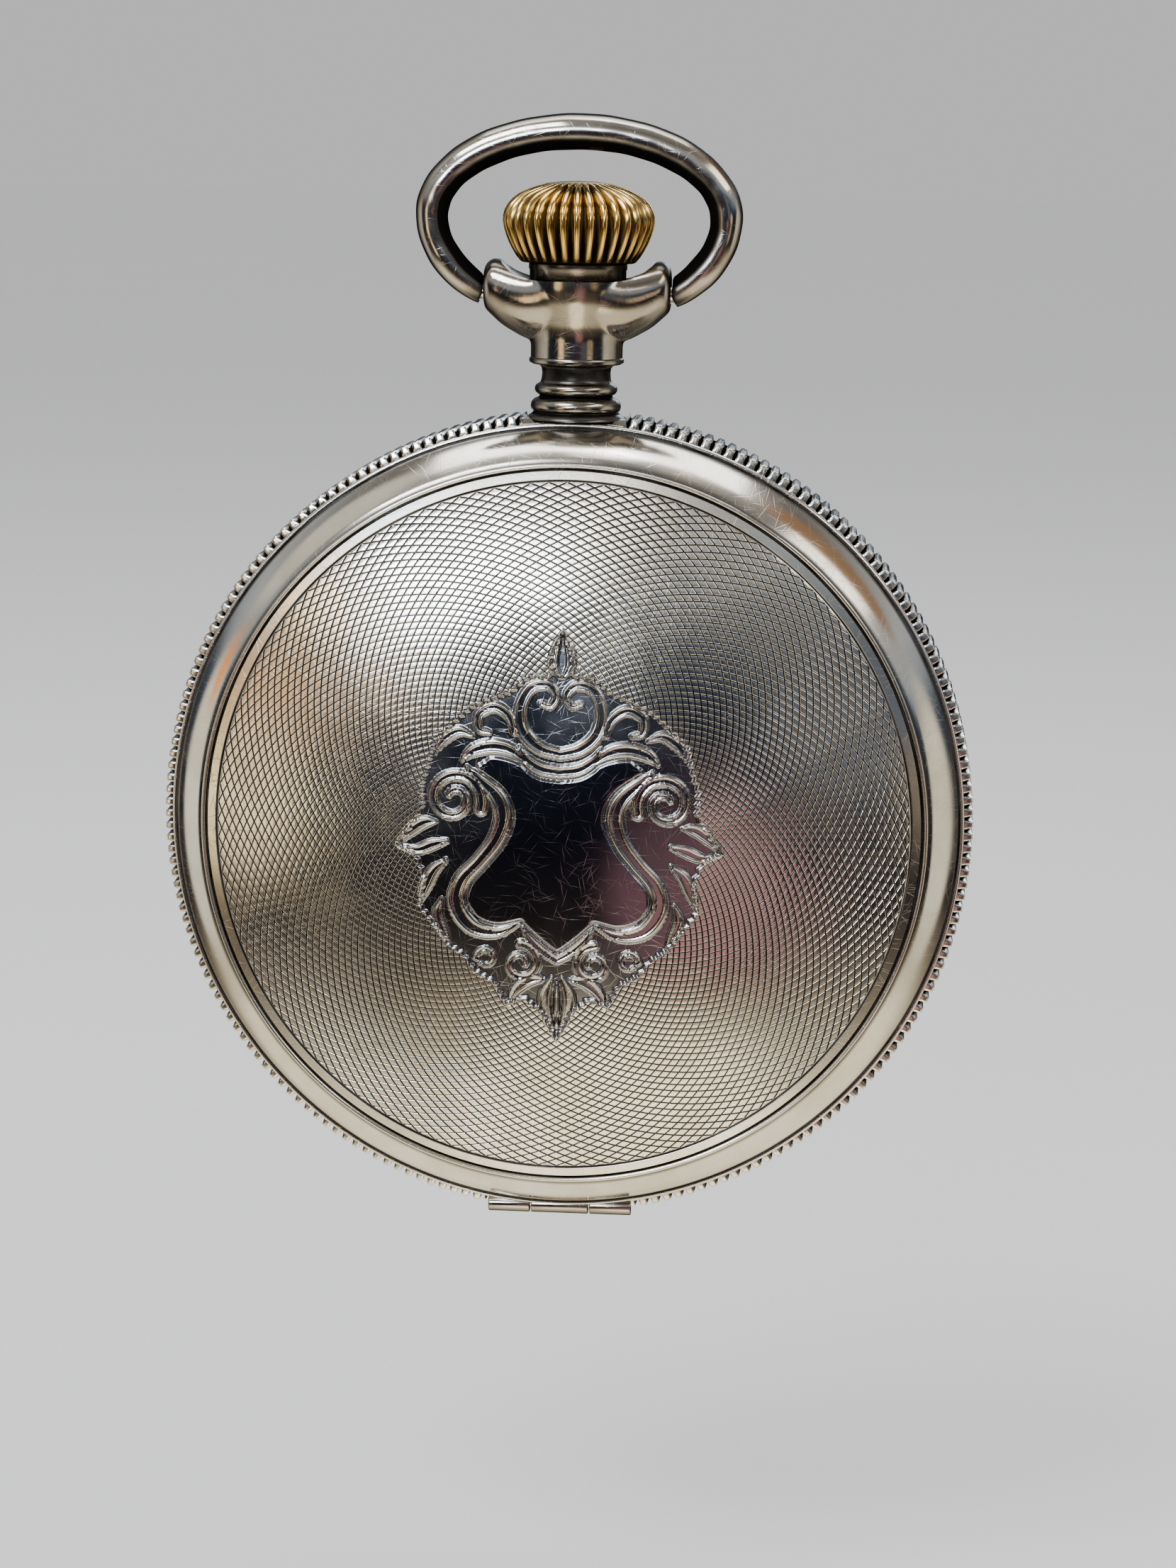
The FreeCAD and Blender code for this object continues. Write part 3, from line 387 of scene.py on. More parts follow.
def nickel(name):
    """Nickelled plates with damascened stripes."""
    n = Surface(name)
    wave = n.add("ShaderNodeTexWave", Scale=160.0, Distortion=1.2, Detail=1.0)
    wave.inputs["Detail Scale"].default_value = 90.0
    n.feed(n.mapped(n.place(), Rotation=(0.0, math.radians(35), 0.0)), wave.inputs["Vector"])
    stripes = wave.outputs["Fac"]
    tone = n.mix(stripes, (0.60, 0.59, 0.56, 1), (0.86, 0.85, 0.82, 1))
    roughness = n.calc("MULTIPLY_ADD", stripes, 0.18, 0.22)
    bump = n.add("ShaderNodeBump", Strength=0.35, Distance=0.00006)
    n.feed(stripes, bump.inputs["Height"])
    return n.set(Metallic=1.0, Base_Color=tone, Roughness=roughness, Normal=bump.outputs[0])


def enamel(name, colour):
    """Fired enamel: glossy, with a faint mottle."""
    n = Surface(name)
    cloud = n.noise(n.place(), Scale=260.0, Detail=4.0)
    return n.set(Base_Color=n.mix(cloud, colour + (1,), times(colour, 0.9)), Roughness=0.16, Coat_Weight=0.6)


def gem(name, colour, rough=0.03, clear=0.6):
    """Ruby and glass: clear, with a faint unevenness."""
    n = Surface(name)
    cloud = n.noise(n.place(), Scale=500.0, Detail=2.0)
    return n.set(Base_Color=n.mix(cloud, colour + (1,), times(colour, 0.85)), Roughness=rough,
                 Transmission_Weight=clear, IOR=1.5)


FIELD = silver("silver_engine_turned", rough=0.10, scratch=0.45, tarnish=0.35, shield=True)
RIM = silver("silver_rim", rough=0.13, scratch=0.6)
PLAIN = silver("silver_plain", rough=0.12, with_oxide_and_painted_shade=False)
# The pendant's silver is tinted darker than the rim's, as painted shade, and its edges carry painted dark
# reflection.
PENDANT = silver("silver_pendant", (0.52, 0.49, 0.45), rough=0.12, tarnish=0.7, edge=0.85)
GOLD = simple_metal("gold_crown", (0.82, 0.57, 0.23), 0.13, 0.1, with_oxide_and_painted_shade=True)
GILT = simple_metal("gilt_brass", (0.83, 0.63, 0.30), 0.25, 0.15)
STEEL = simple_metal("steel", (0.58, 0.58, 0.60), 0.2, 0.1)
BLUED = simple_metal("blued_steel", (0.035, 0.07, 0.30), 0.2)
NICKEL = nickel("nickel_plate")
WHITE = enamel("enamel_white", (0.90, 0.89, 0.85))
BLACK = enamel("enamel_black", (0.012, 0.012, 0.014))
RUBY = gem("ruby", (0.55, 0.02, 0.08))
GLASS = gem("watch_glass", (0.97, 0.98, 0.98), 0.01, 1.0)
# The bow's silver is tinted darker than the rim's, as painted shade, and its edges carry painted dark
# reflection.
BOW_SILVER = silver("silver_bow", (0.60, 0.57, 0.53), rough=0.13, scratch=0.6, tarnish=0.6, edge=0.90)

# Lid ornament: ribbons of scrollwork on the right half, mirrored to the left, as (x, z, half width)

RIBBONS = {
    "side_scroll": [(6.3, 4.5, 0.12), (5.2, 3.5, 0.42), (4.2, 2.5, 0.58), (3.8, 1.2, 0.62), (4.3, -0.4, 0.55),
                    (5.4, -1.9, 0.50), (6.6, -3.3, 0.55), (6.9, -4.9, 0.62), (5.9, -6.4, 0.60),
                    (4.2, -6.8, 0.42), (2.5, -6.1, 0.06)],
    "horn_leaf": [(6.7, 4.9, 0.08), (5.9, 5.6, 0.42), (4.6, 5.95, 0.52), (3.3, 5.7, 0.45), (2.3, 4.9, 0.08)],
    "top_scroll": [(0.0, 4.35, 0.46), (1.3, 4.55, 0.46), (2.3, 5.2, 0.36), (2.75, 6.0, 0.10)],
    "crest": [(0.0, 5.55, 0.40), (1.4, 5.95, 0.46), (2.5, 7.0, 0.48), (2.75, 8.5, 0.44), (2.1, 9.9, 0.40),
              (1.0, 10.2, 0.36), (0.35, 9.5, 0.30), (0.7, 8.8, 0.26), (1.35, 8.95, 0.20)],
    "shoulder_scroll": [(3.1, 6.9, 0.20), (3.5, 8.0, 0.34), (4.5, 8.6, 0.38), (5.5, 8.1, 0.34),
                        (5.5, 7.1, 0.28), (4.8, 6.9, 0.18)],
    "shoulder_leaf": [(5.9, 6.6, 0.12), (6.9, 6.9, 0.36), (7.9, 6.3, 0.38), (8.5, 5.3, 0.06)],
    "volute_leaf": [(8.4, 0.7, 0.14), (9.2, 0.6, 0.42), (10.1, 0.0, 0.40), (11.0, -1.0, 0.05)],
    "volute_leaf_low": [(7.6, -0.6, 0.14), (8.6, -0.9, 0.42), (9.7, -1.3, 0.34), (11.0, -1.05, 0.05)],
    "flank_leaf": [(7.6, -1.9, 0.12), (8.5, -2.7, 0.42), (9.0, -3.8, 0.40), (9.4, -5.0, 0.05)],
    "flank_leaf_low": [(7.9, -4.6, 0.12), (8.2, -5.7, 0.38), (7.8, -6.8, 0.32), (7.4, -7.6, 0.05)],
    "foot_leaf": [(0.9, -10.0, 0.16), (1.9, -10.1, 0.44), (2.8, -10.8, 0.38), (3.3, -11.9, 0.05)],
    "foot_tip": [(0.35, -9.9, 0.16), (0.85, -11.2, 0.44), (0.7, -12.6, 0.40), (0.0, -14.4, 0.05)],
    "foot_vein": [(0.0, -10.3, 0.10), (0.0, -12.0, 0.20), (0.0, -13.9, 0.05)],
    "finial": [(0.1, 10.7, 0.12), (0.62, 11.6, 0.34), (0.5, 12.6, 0.30), (0.0, 14.0, 0.04)],
    "chin": [(2.4, -6.3, 0.05), (1.7, -7.3, 0.30), (0.8, -8.1, 0.34), (0.0, -8.6, 0.30)],
}
VOLUTES = {
    "side_volute": (7.15, 2.3, 1.95, 0.45, 1.45, 200, -1, 0.44),
    "low_volute": (2.5, -8.9, 1.35, 0.35, 1.3, 90, 1, 0.34),
    "low_ring": (4.9, -8.6, 0.62, 0.50, 1.0, 0, 1, 0.24),
}
SHIELD = [(0.0, 4.35), (1.3, 4.55), (2.3, 4.9), (3.4, 5.3), (4.6, 5.3), (5.6, 4.6), (5.2, 3.5), (4.2, 2.5),
          (3.8, 1.2), (4.3, -0.4), (5.4, -1.9), (6.6, -3.3), (6.9, -4.9), (5.9, -6.4), (4.2, -6.8),
          (2.5, -6.1), (1.7, -7.3), (0.8, -8.1), (0.0, -8.6)]
GROUND = [(0.0, 14.1), (0.95, 12.2), (0.75, 10.9), (2.2, 10.9), (3.4, 9.8), (4.7, 9.3), (6.2, 8.6),
          (7.3, 7.6), (8.7, 6.3), (9.0, 4.8), (9.5, 3.2), (9.4, 1.5), (10.2, 0.5), (11.1, -1.0), (9.8, -1.8),
          (9.3, -3.0), (9.6, -5.1), (8.6, -6.4), (7.6, -7.8), (6.4, -8.6), (5.6, -9.7), (4.3, -10.4),
          (3.5, -12.0), (2.3, -11.4), (1.2, -12.3), (0.0, -14.5)]
GROUND_DEPTH = 0.16
RIBBON_RISE = 0.17
TOOTH = 0.55
TOOTH_DEPTH = 0.22


def smooth_curve(points, steps=7):
    """Points along a smooth curve through the given ones."""
    p = np.asarray(points, float)
    p = np.vstack([2 * p[0] - p[1], p, 2 * p[-1] - p[-2]])
    t = np.arange(steps)[:, None] / steps
    rows = []
    for a, b, c, d in zip(p, p[1:], p[2:], p[3:]):
        rows.append(0.5 * (2 * b + (c - a) * t + (2 * a - 5 * b + 4 * c - d) * t ** 2
                           + (3 * b - a - 3 * c + d) * t ** 3))
    return np.vstack(rows + [p[-2:-1]])


def volute(cx, cz, outer, inner, turns, start, hand, width):
    """A spiral scroll that thins towards its eye."""
    t = np.linspace(0, 1, int(26 * turns) + 1)
    angle = math.radians(start) + hand * 2 * math.pi * turns * t
    radius = outer + (inner - outer) * t
    return np.stack([cx + radius * np.cos(angle), cz + radius * np.sin(angle), width * (1 - 0.5 * t)], -1)


def ribbon_field(x, z, curve):
    """For each point, how far in from a ribbon's edge it is (1 on the middle line, 0 at the edge and beyond),
    and its distance outside the edge."""
    best = np.full(x.shape, 9.0)
    share = np.zeros(x.shape)
    margin = curve[:, 2].max() + 0.5
    near = ((x > curve[:, 0].min() - margin) & (x < curve[:, 0].max() + margin)
            & (z > curve[:, 1].min() - margin) & (z < curve[:, 1].max() + margin))
    if not near.any():
        return share, best
    px, pz = x[near], z[near]
    outside = np.full(px.shape, 9.0)
    inside = np.zeros(px.shape)
    for (ax, az, aw), (bx, bz, bw) in zip(curve, curve[1:]):
        dx, dz = bx - ax, bz - az
        t = np.clip(((px - ax) * dx + (pz - az) * dz) / max(dx * dx + dz * dz, 1e-9), 0, 1)
        width = np.maximum(aw + (bw - aw) * t, 0.03)
        away = np.hypot(px - ax - t * dx, pz - az - t * dz)
        outside = np.minimum(outside, away - width)
        inside = np.maximum(inside, 1 - away / width)
    best[near] = outside
    share[near] = np.clip(inside, 0, 1)
    return share, best


def in_polygon(x, z, outline):
    """Which points lie inside a closed outline, and every point's distance to it."""
    inside = np.zeros(x.shape, bool)
    away = np.full(x.shape, 99.0)
    for (ax, az), (bx, bz) in zip(outline, np.roll(outline, -1, 0)):
        crosses = (az > z) != (bz > z)
        level = ax + (z - az) * (bx - ax) / np.where(bz == az, 1e-9, bz - az)
        inside ^= crosses & (x < level)
        dx, dz = bx - ax, bz - az
        t = np.clip(((x - ax) * dx + (z - az) * dz) / max(dx * dx + dz * dz, 1e-9), 0, 1)
        away = np.minimum(away, np.hypot(x - ax - t * dx, z - az - t * dz))
    return inside, away


def mirrored(points):
    """A half outline and its mirror image, closed."""
    half = np.asarray(points, float)
    return np.vstack([half, (half * [-1, 1])[-2:0:-1]])


def serrated(outline):
    """An outline cut into small leaf teeth all round."""
    rows = []
    for a, b in zip(outline, np.roll(outline, -1, 0)):
        length = np.hypot(*(b - a))
        count = max(1, int(round(length / TOOTH)))
        normal = np.array([b[1] - a[1], a[0] - b[0]]) / length
        for i in range(count):
            rows += [a + (b - a) * i / count, a + (b - a) * (i + 0.62) / count + TOOTH_DEPTH * normal]
    return np.array(rows)


def peak(value, width):
    """1 where the value is 0, falling evenly to 0 at the given width."""
    return np.clip(1 - np.abs(value) / width, 0, 1)


def ornament(x, z):
    """Height change, darkness, plainness and polish of the lid's centre panel at each point; the polish is
    painted dark, as a reflection.
    """
    ground, edge = in_polygon(x, z, serrated(mirrored(GROUND)))
    shield, _ = in_polygon(x, z, mirrored(SHIELD))
    share = np.zeros(x.shape)
    beyond = np.full(x.shape, 9.0)
    curves = [smooth_curve(points) for points in RIBBONS.values()] + [volute(*v) for v in VOLUTES.values()]
    for curve in curves:
        one, out = ribbon_field(np.abs(x), z, curve)
        share = np.maximum(share, one)
        beyond = np.minimum(beyond, out)
    signed = np.where(ground, -edge, edge)
    sunk = np.clip(-signed / 0.10, 0, 1)
    sunk = np.where(shield, np.clip(1 - (beyond - 0.12) / 0.10, 0, 1), sunk)
    round_top = np.sqrt(np.clip(1 - (1 - np.clip(share / 0.55, 0, 1)) ** 2, 0, 1))
    hollow = np.clip((share - 0.38) / 0.2, 0, 1)
    height = -GROUND_DEPTH * sunk + (RIBBON_RISE * round_top - 0.09 * hollow) * (share > 0)
    oxide_and_painted_shade = np.where(ground & ~shield, 0.42, 0.0) * (share <= 0)
    oxide_and_painted_shade = np.maximum(oxide_and_painted_shade, 0.55 * peak(share - 0.44, 0.10))
    oxide_and_painted_shade = np.maximum(oxide_and_painted_shade, peak(beyond, 0.10) * 0.9 * (ground | shield))
    oxide_and_painted_shade = np.maximum(oxide_and_painted_shade, peak(signed, 0.08) * 0.5)
    plain = np.where(ground, 1.0, np.clip(1 - (signed - 0.02) / 0.12, 0, 1))
    polish = np.where(ground & (share <= 0), 0.80, (0.20 + 0.45 * hollow) * (share > 0))
    return height, oxide_and_painted_shade, plain, np.where(shield & (beyond > 0.1), 1.0, polish)


def barleycorn(x, z):
    """Engine turning: crossing spiral grooves with low pillowed diamonds between them."""
    r = np.hypot(x, z)
    u = np.arctan2(z, x) * CELLS / (2 * math.pi)
    v = (FIELD_R - r) / ROW
    p = np.abs((u + v) % 1.0 - 0.5) * 2
    q = np.abs((u - v) % 1.0 - 0.5) * 2
    groove = np.maximum(p, q)
    cut = np.clip((groove - 0.78) / 0.22, 0, 1)
    pillow = (1 - p ** 2) * (1 - q ** 2)
    return 0.0045 * pillow - 0.007 * cut


def medallion(x, z):
    """The same for the back cover's centre: a plain round shield inside a cut ring of petals."""
    r = np.hypot(x, z)
    angle = np.arctan2(z, x)
    petal = 8.2 + 0.55 * np.abs(np.cos(angle * 12))
    plain = np.clip((petal - r) / 0.12, 0, 1)
    fan = np.clip((r - 6.72) / 0.1, 0, 1) * plain
    rays = np.cos(angle * 36) ** 2
    edge = peak(r - petal, 0.10)
    relief = plain * (0.10 * peak(r - 6.55, 0.18) + 0.10 * fan * rays - 0.06 * fan) - 0.05 * edge
    flat = np.clip((6.35 - r) / 0.1, 0, 1)
    oxide_and_painted_shade = 0.8 * np.maximum(edge, fan * (1 - rays))
    return relief * (1 - flat), oxide_and_painted_shade * (1 - flat), plain, 0.5 * flat


def dome(r, flat_r):
    """How far a cover's outside stands from the middle plane."""
    share = np.clip((r - flat_r) / (DOME_R - flat_r), 0, None)
    return APEX - (APEX - DOME_EDGE_Y) * share ** 2


def panel(name, r_out, r_in, around, body, facing, centre_piece, flat_r):
    """A closed piece of cover between two radii: carved outside, plain inside."""
    eye = max(r_in, 0.02)
    rows = max(2, int(round((r_out - r_in) / (ROW / PER_ROW))) + 1)
    radii = np.linspace(r_out, eye, rows)
    angle = np.arange(around) * 2 * math.pi / around
    x = radii[:, None] * np.cos(angle)
    z = radii[:, None] * np.sin(angle)
    turned = np.clip((FIELD_R - np.hypot(x, z)) / 0.06, 0, 1)
    relief, oxide_and_painted_shade, plain, mirror = centre_piece(x, z)
    carving = barleycorn(x, z) * turned * (1 - plain) + relief
    outside = np.stack([x, facing * (dome(np.hypot(x, z), flat_r) + carving), z], -1)
    inner_rows = 9
    inner_radii = np.linspace(eye, r_out, inner_rows)
    inner_y = dome(inner_radii, flat_r) - SHELL
    inside = np.stack([inner_radii[:, None] * np.cos(angle), np.repeat(facing * inner_y[:, None], around, 1),
                       inner_radii[:, None] * np.sin(angle)], -1)
    points = np.vstack([outside.reshape(-1, 3), inside.reshape(-1, 3)])
    pad = np.zeros(inner_rows * around)
    tones = {"oxide_and_painted_shade": oxide_and_painted_shade, "mirror": mirror, "turned": turned * (1 - plain)}
    piece = make(name, points, ring_faces(rows + inner_rows, around), FIELD, body,
                 attributes={key: np.concatenate([tone.ravel(), pad]) for key, tone in tones.items()})
    sharp_by_angle(piece, 75)


def cover_rim(name, body, facing, flat_r):
    """The bevelled rim: edge bead, wide polished bevel, inner bead and the ring band round the field."""
    field_y = dome(FIELD_R, flat_r)
    outline = [(26.6, EDGE_Y), (27.2, EDGE_Y)]
    outline += arc(EDGE_R - 0.24, 2.95, 0.24, -60, 75, 8)
    outline += [(EDGE_R - 0.30, 3.16), (EDGE_R - 0.36, 3.20), (EDGE_R - 0.40, 3.32)]
    bevel_start = (EDGE_R - 0.46, 3.46)
    bevel_end = (DOME_R + 0.12, 5.93)
    for i in range(1, 15):
        t = i / 15
        bulge = 0.20 * math.sin(math.pi * t)
        outline.append((bevel_start[0] + (bevel_end[0] - bevel_start[0]) * t + bulge * 0.72,
                        bevel_start[1] + (bevel_end[1] - bevel_start[1]) * t + bulge * 0.69))
    outline += [(DOME_R + 0.06, 5.92), (DOME_R - 0.01, 5.94)]
    outline += arc(DOME_R - 0.16, 6.06, 0.15, 20, 150, 8)
    outline += [(DOME_R - 0.36, dome(24.54, flat_r) - 0.10), (DOME_R - 0.42, dome(24.48, flat_r) - 0.10)]
    outline += [(r, dome(r, flat_r) + 0.03) for r in np.linspace(DOME_R - 0.50, FIELD_R + 0.20, 6)]
    outline += [(FIELD_R + 0.14, field_y - 0.06), (FIELD_R + 0.07, field_y - 0.06), (FIELD_R, field_y)]
    outline += [(FIELD_R, field_y - SHELL), (24.3, 5.4), (26.6, 3.3)]
    grooves = [(EDGE_R - 0.36, 0.07, 0.85), (DOME_R - 0.39, 0.05, 0.85), (FIELD_R + 0.105, 0.05, 0.85),
               (DOME_R + 0.03, 0.06, 0.6)]
    dark = np.zeros(len(outline))
    for place, width, tone in grooves:
        for i, (r, y) in enumerate(outline):
            if abs(r - place) < width:
                dark[i] = tone
    points, faces = lathe([(r, facing * y) for r, y in outline], RIM_AROUND)
    rim = make(name, points, faces, RIM, body, attributes={"oxide_and_painted_shade": np.repeat(dark, RIM_AROUND)})
    return sharp_by_angle(rim, 40)


def knuckle(name, x0, x1, y, z, radius, bore, body):
    """One turned hinge knuckle with softened ends, bored for its pin."""
    soft = 0.08
    profile = [(bore, x0), (radius - soft, x0)] + arc(radius - soft, x0 + soft, soft, -90, 0, 3)[1:]
    profile += arc(radius - soft, x1 - soft, soft, 0, 90, 3) + [(bore, x1)]
    points, faces = lathe(profile, 40, axis="x", centre=(0, y, z))
    sharp_by_angle(make(name, points, faces, PENDANT, body), 40)


def covers():
    edges = [FIELD_R, FIELD_R - 8 * ROW, FIELD_R - 16 * ROW, FIELD_R - 30 * ROW, 0.0]
    for body, facing, centre_piece, flat_r in (("front_cover", -1, ornament, 0.0),
                                               ("back_cover", 1, medallion, BACK_FLAT_R)):
        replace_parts(cover_rim(body + "_rim", body, facing, flat_r), body)
        for i, (r_out, r_in) in enumerate(zip(edges, edges[1:])):
            around = AROUND if r_in else AROUND // 2
            panel(f"{body}_field_{i + 1}", r_out, r_in, around, body, facing, centre_piece, flat_r)
        knuckle(body + "_knuckle", -2.0, 2.0, facing * HINGE_Y, HINGE_Z, KNUCKLE_R, PIN_BORE, body)


# Band, pendant, bow and crown


def reed_ridge(angle):
    """1 along the top of a reed and 0 in the gaps between reeds."""
    ridge = np.clip((np.abs(np.sin(angle * REEDS / 2)) - 0.42) / 0.34, 0, 1)
    return ridge * (2 - ridge)


def band():
    """The case middle: a coin edge outside, plain flanges and a hollow channel inside."""
    profile = [(CASE_R - 0.72, -FLANGE_Y), (CASE_R - 0.14, -FLANGE_Y), (CASE_R - 0.04, -2.40)]
    profile += [(CASE_R, y) for y in (-2.28, -2.1, -1.8, -1.4, -0.9, -0.3, 0.3, 0.9, 1.4, 1.8, 2.1, 2.28)]
    profile += [(CASE_R - 0.04, 2.40), (CASE_R - 0.14, FLANGE_Y), (CASE_R - 0.72, FLANGE_Y)]
    profile += [(23.9, FLANGE_Y), (23.9, 4.3), (23.0, 4.3), (23.0, FLANGE_Y), (22.5, FLANGE_Y), (22.5, 1.6),
                (25.8, 1.6), (25.8, -1.6), (22.5, -1.6), (22.5, -FLANGE_Y)]

    def reeded(r, along, angle):
        """Cuts the reeds, leaves the pendant's foot plain, and clears the covers' rims at the hinges."""
        at_pendant = np.abs((angle - math.pi / 2 + math.pi) % TAU - math.pi) < PENDANT_TURN
        drop = np.where(at_pendant, 1.0, 1 - reed_ridge(angle))
        face = np.clip((r - (CASE_R - 0.5)) / 0.3, 0, 1)
        depth = REED_DEPTH * (0.34 + 0.66 * np.clip((np.abs(along) - 1.0) / 1.2, 0, 1) ** 2)
        reeded_r = r - depth * drop * face
        at_hinge = (np.sin(angle) < 0) & (np.abs(np.cos(angle)) * CASE_R < 5.3) & (np.abs(along) > 2.2)
        return np.where(at_hinge, np.minimum(reeded_r, CASE_R - 0.60), reeded_r)

    points, faces = lathe(profile, REEDS * PER_REED, radius_of=reeded)
    r = np.hypot(points[:, 0], points[:, 2])
    angle = np.arctan2(points[:, 2], points[:, 0])
    # Painted shade: the gaps between reeds on the outer face darken, except at the pendant's foot.
    oxide_and_painted_shade = (1 - reed_ridge(angle)) * (r > GAP_BOTTOM_R) * (np.abs(points[:, 1]) < 2.5)
    oxide_and_painted_shade *= np.abs(angle - math.pi / 2) > PENDANT_TURN
    piece = make("case_band_reeded", points, faces, RIM, "case", attributes={"oxide_and_painted_shade": oxide_and_painted_shade})
    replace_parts(piece, "case_band")
    sharp_by_angle(piece, 50)
    for i, (x0, x1) in enumerate(((-5.0, -2.1), (2.1, 5.0))):
        for j, y in enumerate((-HINGE_Y, HINGE_Y)):
            knuckle(f"band_knuckle_{i}{j}", x0, x1, y, HINGE_Z, KNUCKLE_R, PIN_BORE, "case")
    for i, (x0, x1) in enumerate(((-3.0, -1.1), (1.1, 3.0))):
        knuckle(f"dust_knuckle_{i}", x0, x1, *DUST_HINGE, DUST_KNUCKLE_R, DUST_BORE, "case")


def remeshed(name, parts, hollow, voxel, smooth_steps, material, body):
    """Joins closed meshes into one skin, softens its inner corners and cuts a hollow out of it."""
    work = put(name + "_raw", outward_mesh(name + "_raw", *stacked(parts)))
    remesh = work.modifiers.new("skin", "REMESH")
    remesh.mode = "VOXEL"
    remesh.voxel_size = voxel
    soften = work.modifiers.new("soften", "SMOOTH")
    soften.factor = 0.5
    soften.iterations = smooth_steps
    cutter = put("cutter", outward_mesh("cutter", *hollow))
    cut = work.modifiers.new("carve", "BOOLEAN")
    cut.operation = "DIFFERENCE"
    cut.solver = "EXACT"
    cut.object = cutter
    final = work.evaluated_get(bpy.context.evaluated_depsgraph_get())
    result = final.to_mesh()
    skin = np.array([v.co for v in result.vertices])
    sides = [tuple(p.vertices) for p in result.polygons]
    final.to_mesh_clear()
    bpy.data.objects.remove(work)
    bpy.data.objects.remove(cutter)
    return sharp_by_angle(make(name, skin, sides, material, body), 50)


YOKE_HALF = [(0.0, 35.2, 2.45, 3.95, 3.10), (1.8, 35.2, 2.45, 3.82, 3.10), (3.3, 35.32, 2.46, 3.30, 2.90),
             (4.4, 35.70, 2.33, 2.82, 2.64), (5.2, 36.04, 2.18, 2.50, 2.36), (5.8, 36.34, 1.95, 2.30, 2.16),
             (6.2, 36.38, 1.62, 2.00, 1.90), (6.375, 36.36, 1.34, 1.65, 1.55)]
YOKE_VOXEL = 0.10
YOKE_SOFTENING = 30


def tube(path, ring=72):
    """A closed body across the pendant, through oval sections given as (x, z, half height, upper half
    depth, lower half depth)."""
    stations = smooth_curve(path, 6)
    angle = np.arange(ring) * 2 * math.pi / ring
    cos, sin = np.cos(angle), np.sin(angle)
    upper = np.clip((sin + 0.3) / 0.9, 0, 1)
    rows = []
    for x, z, high, depth_up, depth_low in stations:
        fullness = 1 - (0.36 - 0.30 * min(abs(x) / 5, 1)) * upper
        depth = depth_low + (depth_up - depth_low) * upper
        rows.append(np.stack([np.full(ring, x), depth * np.sign(cos) * np.abs(cos) ** fullness,
                              z + high * np.sign(sin) * np.abs(sin) ** fullness], -1))
    ends = [[[stations[i][0], 0, stations[i][1]]] for i in (0, -1)]
    points = np.vstack(rows + ends)
    faces = []
    last = (len(stations) - 1) * ring
    for j in range(ring):
        k = (j + 1) % ring
        for start in range(0, last, ring):
            faces.append((start + j, start + k, start + ring + k, start + ring + j))
        faces.append((len(points) - 2, k, j))
        faces.append((len(points) - 1, last + j, last + k))
    return points, faces


def triangles(points, faces):
    """The same mesh with its quads split."""
    rows = []
    for face in faces:
        face = list(dict.fromkeys(int(i) for i in face))
        rows.append(face[:3])
        if len(face) == 4:
            rows.append([face[0], face[2], face[3]])
    return points, rows


def pendant():
    """A waisted neck with turned rings, a yoke that ends in two ears, and the crown's seat."""
    core = [(0.02, 31.2), (3.15, 31.2), (3.15, 33.0), (3.28, 33.8), (3.52, 34.6), (3.80, 35.5),
            (3.95, 36.4), (3.98, 37.4), (0.02, 37.4)]
    bowl = [(0.02, 36.2), (3.45, 36.2), (3.58, 36.68), (3.85, 36.86), (4.3, 37.08), (4.9, 37.5), (5.25, 38.0),
            (5.5, 38.6), (5.5, 41.0), (0.02, 41.0)]
    yoke = YOKE_HALF[::-1] + [(-x, *rest) for x, *rest in YOKE_HALF[1:]]
    parts = [triangles(*lathe(core, 96, axis="z")), triangles(*tube(yoke))]
    body = remeshed("pendant_yoke", parts, lathe(bowl, 96, axis="z"), YOKE_VOXEL, YOKE_SOFTENING, PENDANT,
                    "case")
    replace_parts(body, "pendant")
    neck = [(1.75, 27.45), (3.40, 27.45), (3.38, 27.6), (3.12, 27.78), (2.94, 27.9), (2.92, 27.98),
            (3.04, 28.1), (3.10, 28.35), (3.05, 28.62), (2.86, 28.84), (2.62, 28.94), (2.52, 28.98),
            (2.50, 29.12), (2.66, 29.2), (2.80, 29.36), (2.84, 29.56), (2.76, 29.78), (2.56, 29.9),
            (2.46, 29.98), (2.38, 30.2), (2.34, 30.6), (2.38, 30.95), (2.52, 31.12), (2.80, 31.24),
            (3.04, 31.28), (3.22, 31.34), (3.25, 31.48), (3.22, 31.62), (3.12, 31.70), (3.12, 32.2),
            (1.75, 32.2)]
    points, faces = lathe(neck, 128, axis="z")
    # Painted shade: darker in the creases between the neck's rings, in its waist and at its foot.
    hollow = np.interp(points[:, 2], [27.5, 27.95, 28.1, 28.8, 29.0, 29.15, 29.3, 29.8, 30.1, 31.0, 31.3],
                       [0.6, 1.0, 0.15, 0.15, 1.0, 1.0, 0.15, 0.3, 0.85, 0.9, 0.3])
    hollow *= np.hypot(points[:, 0], points[:, 1]) > 2.0
    sharp_by_angle(make("pendant_neck", points, faces, PENDANT, "case", attributes={"oxide_and_painted_shade": hollow}), 50)
    seat = [(1.75, 35.9), (3.30, 35.9), (3.30, 37.6), (3.36, 37.7), (3.36, 38.0), (3.28, 38.08),
            (1.75, 38.08)]
    points, faces = lathe(seat, 96, axis="z")
    # Painted shade: darker low in the yoke's bowl and at the top under the crown.
    shade = np.interp(points[:, 2], [36.9, 37.2, 37.6, 38.05], [0.8, 0.25, 0.25, 0.8])
    sharp_by_angle(make("crown_seat", points, faces, PENDANT, "case", attributes={"oxide_and_painted_shade": shade}), 40)


